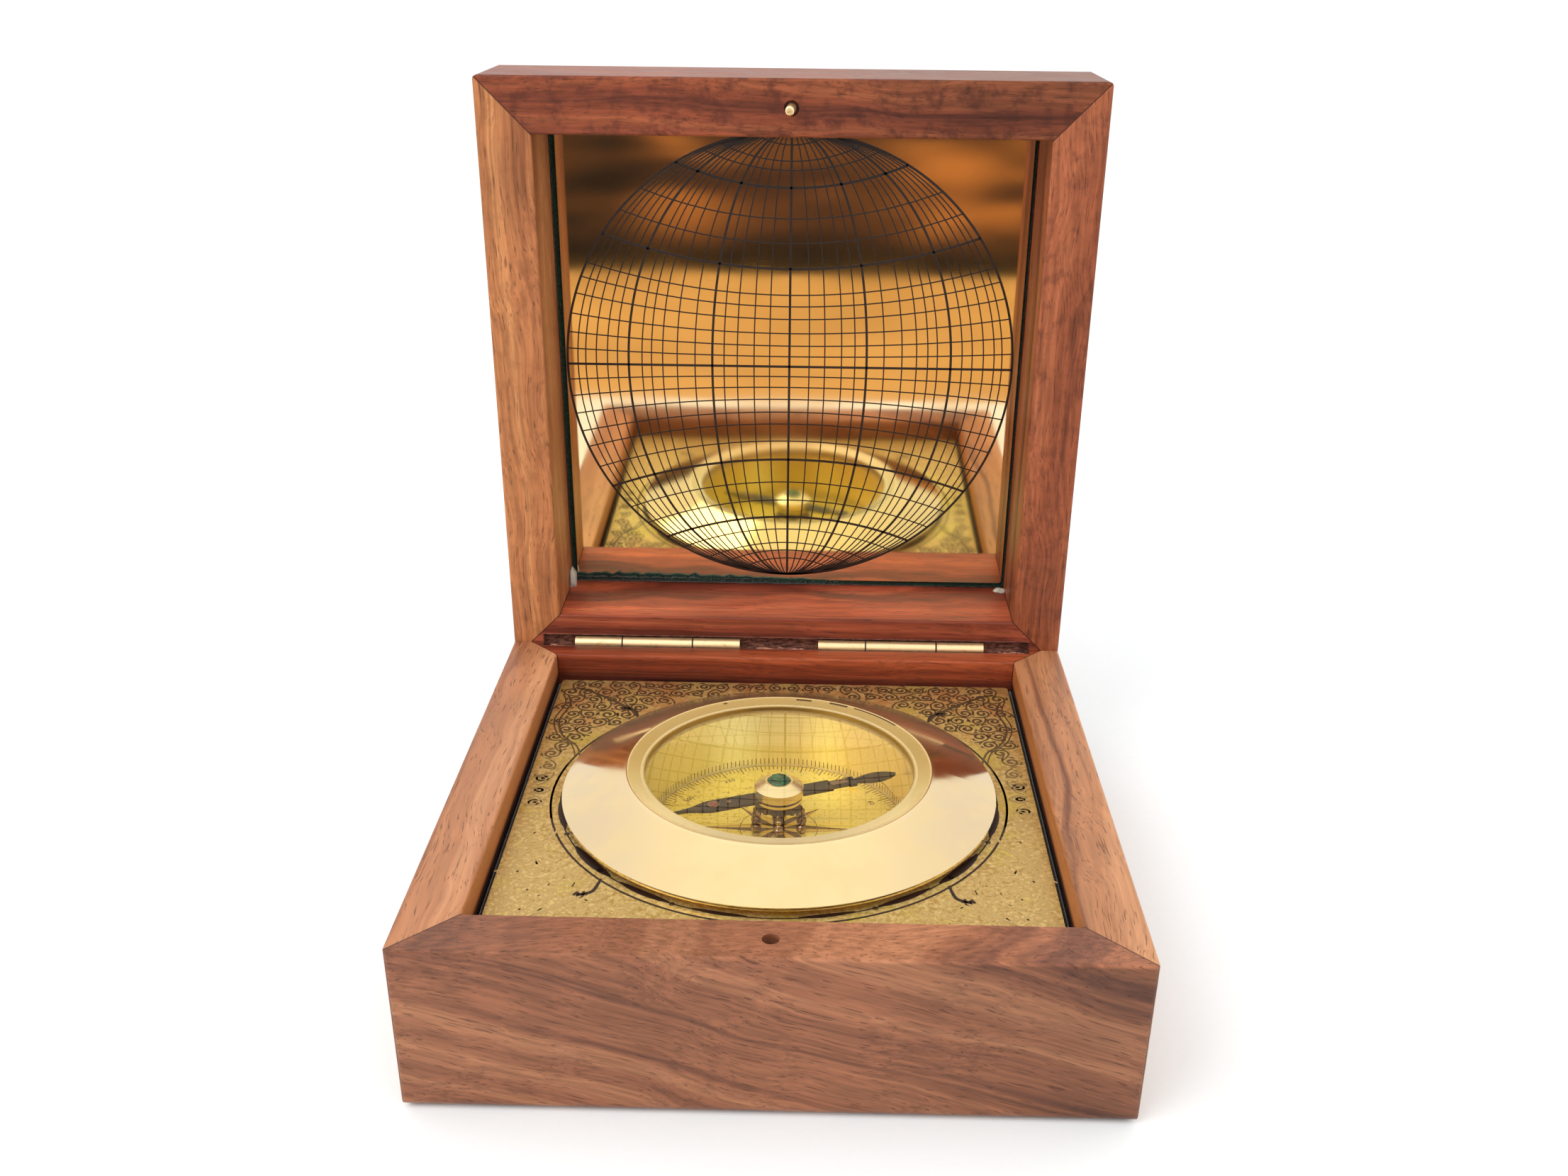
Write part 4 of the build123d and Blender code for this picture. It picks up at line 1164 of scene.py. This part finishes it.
def lid_felt():
    """A sheet whose rim stands round the plate, and curls over the plate's lower edge."""
    green = felt_material("lid_green_felt", (3, 19, 14), (14, 58, 38))

    def in_lid(x, z, height):
        return (x, LID_FELT_BACK - height, z)

    gap = FELT_GAP
    low, high = (-OPENING_HALF + gap, LID_FLOOR + gap), (OPENING_HALF - gap, LID_MIDDLE + OPENING_HALF - gap)
    plate = ((GRID_LOW[0] - gap, GRID_LOW[2] - gap), (GRID_HIGH[0] + gap, GRID_HIGH[2] + gap))
    outer = square_loop(low, high, 0.0, FELT_STEPS, 0.05, 1.0)
    crown = square_loop(low, high, 0.22, FELT_STEPS, 0.05, 2.0)
    inner = square_loop(*plate, 0.0, FELT_STEPS, 0.03, 3.0)
    under = square_loop(*plate, 4.0, FELT_STEPS, 0.0, 3.0)
    face = LID_FELT_BACK - GRID_FACE

    def curl(x, z):
        """How far the felt laps over the plate: along the bottom, most at the left."""
        foot = plate[0][1]
        near = way(x, 16, -20) * way(x, -43, -40) * way(z, foot + 0.6, foot + 0.1)
        broad, fine = noise.noise(Vector((x * 0.7, 0, 4.0))), noise.noise(Vector((x * 2.6, 0, 7.0)))
        return FELT_CURL * near * (0.8 + 0.5 * broad + 0.3 * fine)

    lip = [1.35 + 0.22 * noise.noise(Vector((x * 0.5, z * 0.5, 9.0))) for x, z in crown]
    share = [min(1.0, curl(x, z) / 0.3) for x, z in inner]

    def lifted(flat, lapped):
        """Heights of the inner edge, where it lies flat and where it laps over."""
        return [flat + (lapped - flat) * part for part in share]

    fold = [(x, z + curl(x, z)) for x, z in inner]
    rings = [(outer, 0.02), (outer, 1.1), (crown, lip),
             (fold, lifted(1.05, face + 0.35)), (fold, lifted(1.0, face + 0.06)),
             (inner, lifted(0.95, face + 0.04)), (inner, 0.75), (under, 0.75)]
    sheet = felt_sheet("lid_felt_sheet", in_lid, rings, green, "lid")
    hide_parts("lid_felt")
    seen = [point for point in crown if point[0] < -40 or point[1] < LID_MIDDLE - 40] + crown
    fuzz("lid_felt_fibres", in_lid, seen, (0.9, 1.2), 0.5, green, "lid", 1500, 3)
    lapped = [(x, z - 0.5) for (x, z), part in zip(fold, share) if part > 0.4]
    fuzz("lid_felt_nap", in_lid, lapped, (face, face + 0.15), 0.8, green, "lid", 900, 5)


def base_felt():
    """A flat sheet with a round hole for the cup, in a near-black copy of the green felt as painted shade.
    """
    # Painted shade: the lid's green felt, made near-black for the felt under the plate.
    green = felt_material("base_felt_painted_shade", (3, 8, 6), (8, 24, 16))
    low, high = BASE_FELT_LOW, BASE_FELT_HIGH
    top = high[2] - low[2] - 0.04
    outer = square_loop(low, high, 0.0, BASE_FELT_STEPS, 0.05, 1.0)
    crown = square_loop(low, high, 0.25, BASE_FELT_STEPS, 0.05, 2.0)
    hole = [(x / hypot(x, y) * BASE_FELT_HOLE, y / hypot(x, y) * BASE_FELT_HOLE) for x, y in outer]
    rings = [(outer, 0.02), (outer, top - 0.16), (crown, top), (hole, top), (hole, 0.02)]
    sheet = felt_sheet("base_felt_sheet", on_top(low[2]), rings, green, "base", hollow=True)
    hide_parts("base_felt")


lid_felt()
base_felt()


# Torn wood left in the hinge groove by the chisel
SPLINTER_FIELDS = ((-44.0, -39.2, 7), (-7.8, 5.4, 22), (37.0, 44.0, 9))
SPLINTER_LENGTH = (0.8, 2.6)
SPLINTER_REACH = (0.5, 1.25)
SPLINTER_TURN = (195, 262)
SPLINTER_TAPER = ((-0.5, 0.15), (-0.15, 1.0), (0.2, 0.8), (0.5, 0.1))


def groove_splinters():
    """Rough slivers of five sides along the groove, on the base's side of the hinge line."""
    random.seed(21)
    vertices, faces = [], []
    for low, high, count in SPLINTER_FIELDS:
        for _ in range(count):
            length = uniform(*SPLINTER_LENGTH)
            x = uniform(low + length / 2, high - length / 2)
            swing = radians(uniform(*SPLINTER_TURN))
            reach = uniform(*SPLINTER_REACH)
            y, z = HINGE_Y + reach * cos(swing), HINGE_Z + reach * sin(swing)
            tilt = uniform(-0.25, 0.25)
            half, thick = uniform(0.18, 0.42), uniform(0.12, 0.26)
            start = len(vertices)
            for share, taper in SPLINTER_TAPER:
                for turn in range(5):
                    side = radians(72 * turn + uniform(-15, 15))
                    vertices.append((x + share * length, y + taper * half * cos(side) + 0.2 * tilt * share,
                                     z + taper * thick * sin(side) + tilt * share))
            for ring in range(start, start + 15, 5):
                faces += between_rings(ring, ring + 5, 5)
            faces.append(tuple(start + turn for turn in (4, 3, 2, 1, 0)))
            faces.append(tuple(start + 15 + turn for turn in range(5)))
    look = Look("torn_wood")
    fibre = look.stretched((look.x, look.y, look.z), (0.5, 3, 3), 4.0, 3, 0.7)
    torn = look.finish(look.mix(look.range(fibre, 0.38, 0.62), (118, 64, 54), (206, 146, 116)),
                       roughness=0.7, normal=look.bump(fibre, 0.1))
    new_object("groove_splinters", vertices, faces, torn, "base")


groove_splinters()


# Dried glue in the lower corners of the lid: name, centre, size and seed
GLUE_DABS = (
    ("glue_dab_left", (-OPENING_HALF + 0.3, GRID_FACE - 1.4, LID_FLOOR + 1.2), (0.8, 1.9, 2.1), 1.0),
    ("glue_dab_right", (OPENING_HALF - 0.8, GRID_FACE - 0.9, LID_FLOOR + 0.1), (1.2, 1.0, 0.4), 5.0),
)


def glue_dabs():
    """Smeared drops with uneven rims."""
    look = Look("dried_glue")
    cloud = look.noise(1.5, 3)
    color = look.mix(cloud, (212, 206, 196), (166, 156, 142))
    glue = look.finish(color, roughness=0.3, normal=look.bump(cloud, 0.08))
    ball, faces = unit_ball(3)
    for name, centre, size, seed in GLUE_DABS:
        vertices = []
        for point in ball:
            swell = 1 + 0.35 * noise.noise(Vector(point) * 1.7 + Vector((seed, 0, 0)))
            vertices.append(tuple(centre[k] + point[k] * size[k] * swell for k in range(3)))
        new_object(name, vertices, faces, glue, "lid", smooth=True)


glue_dabs()
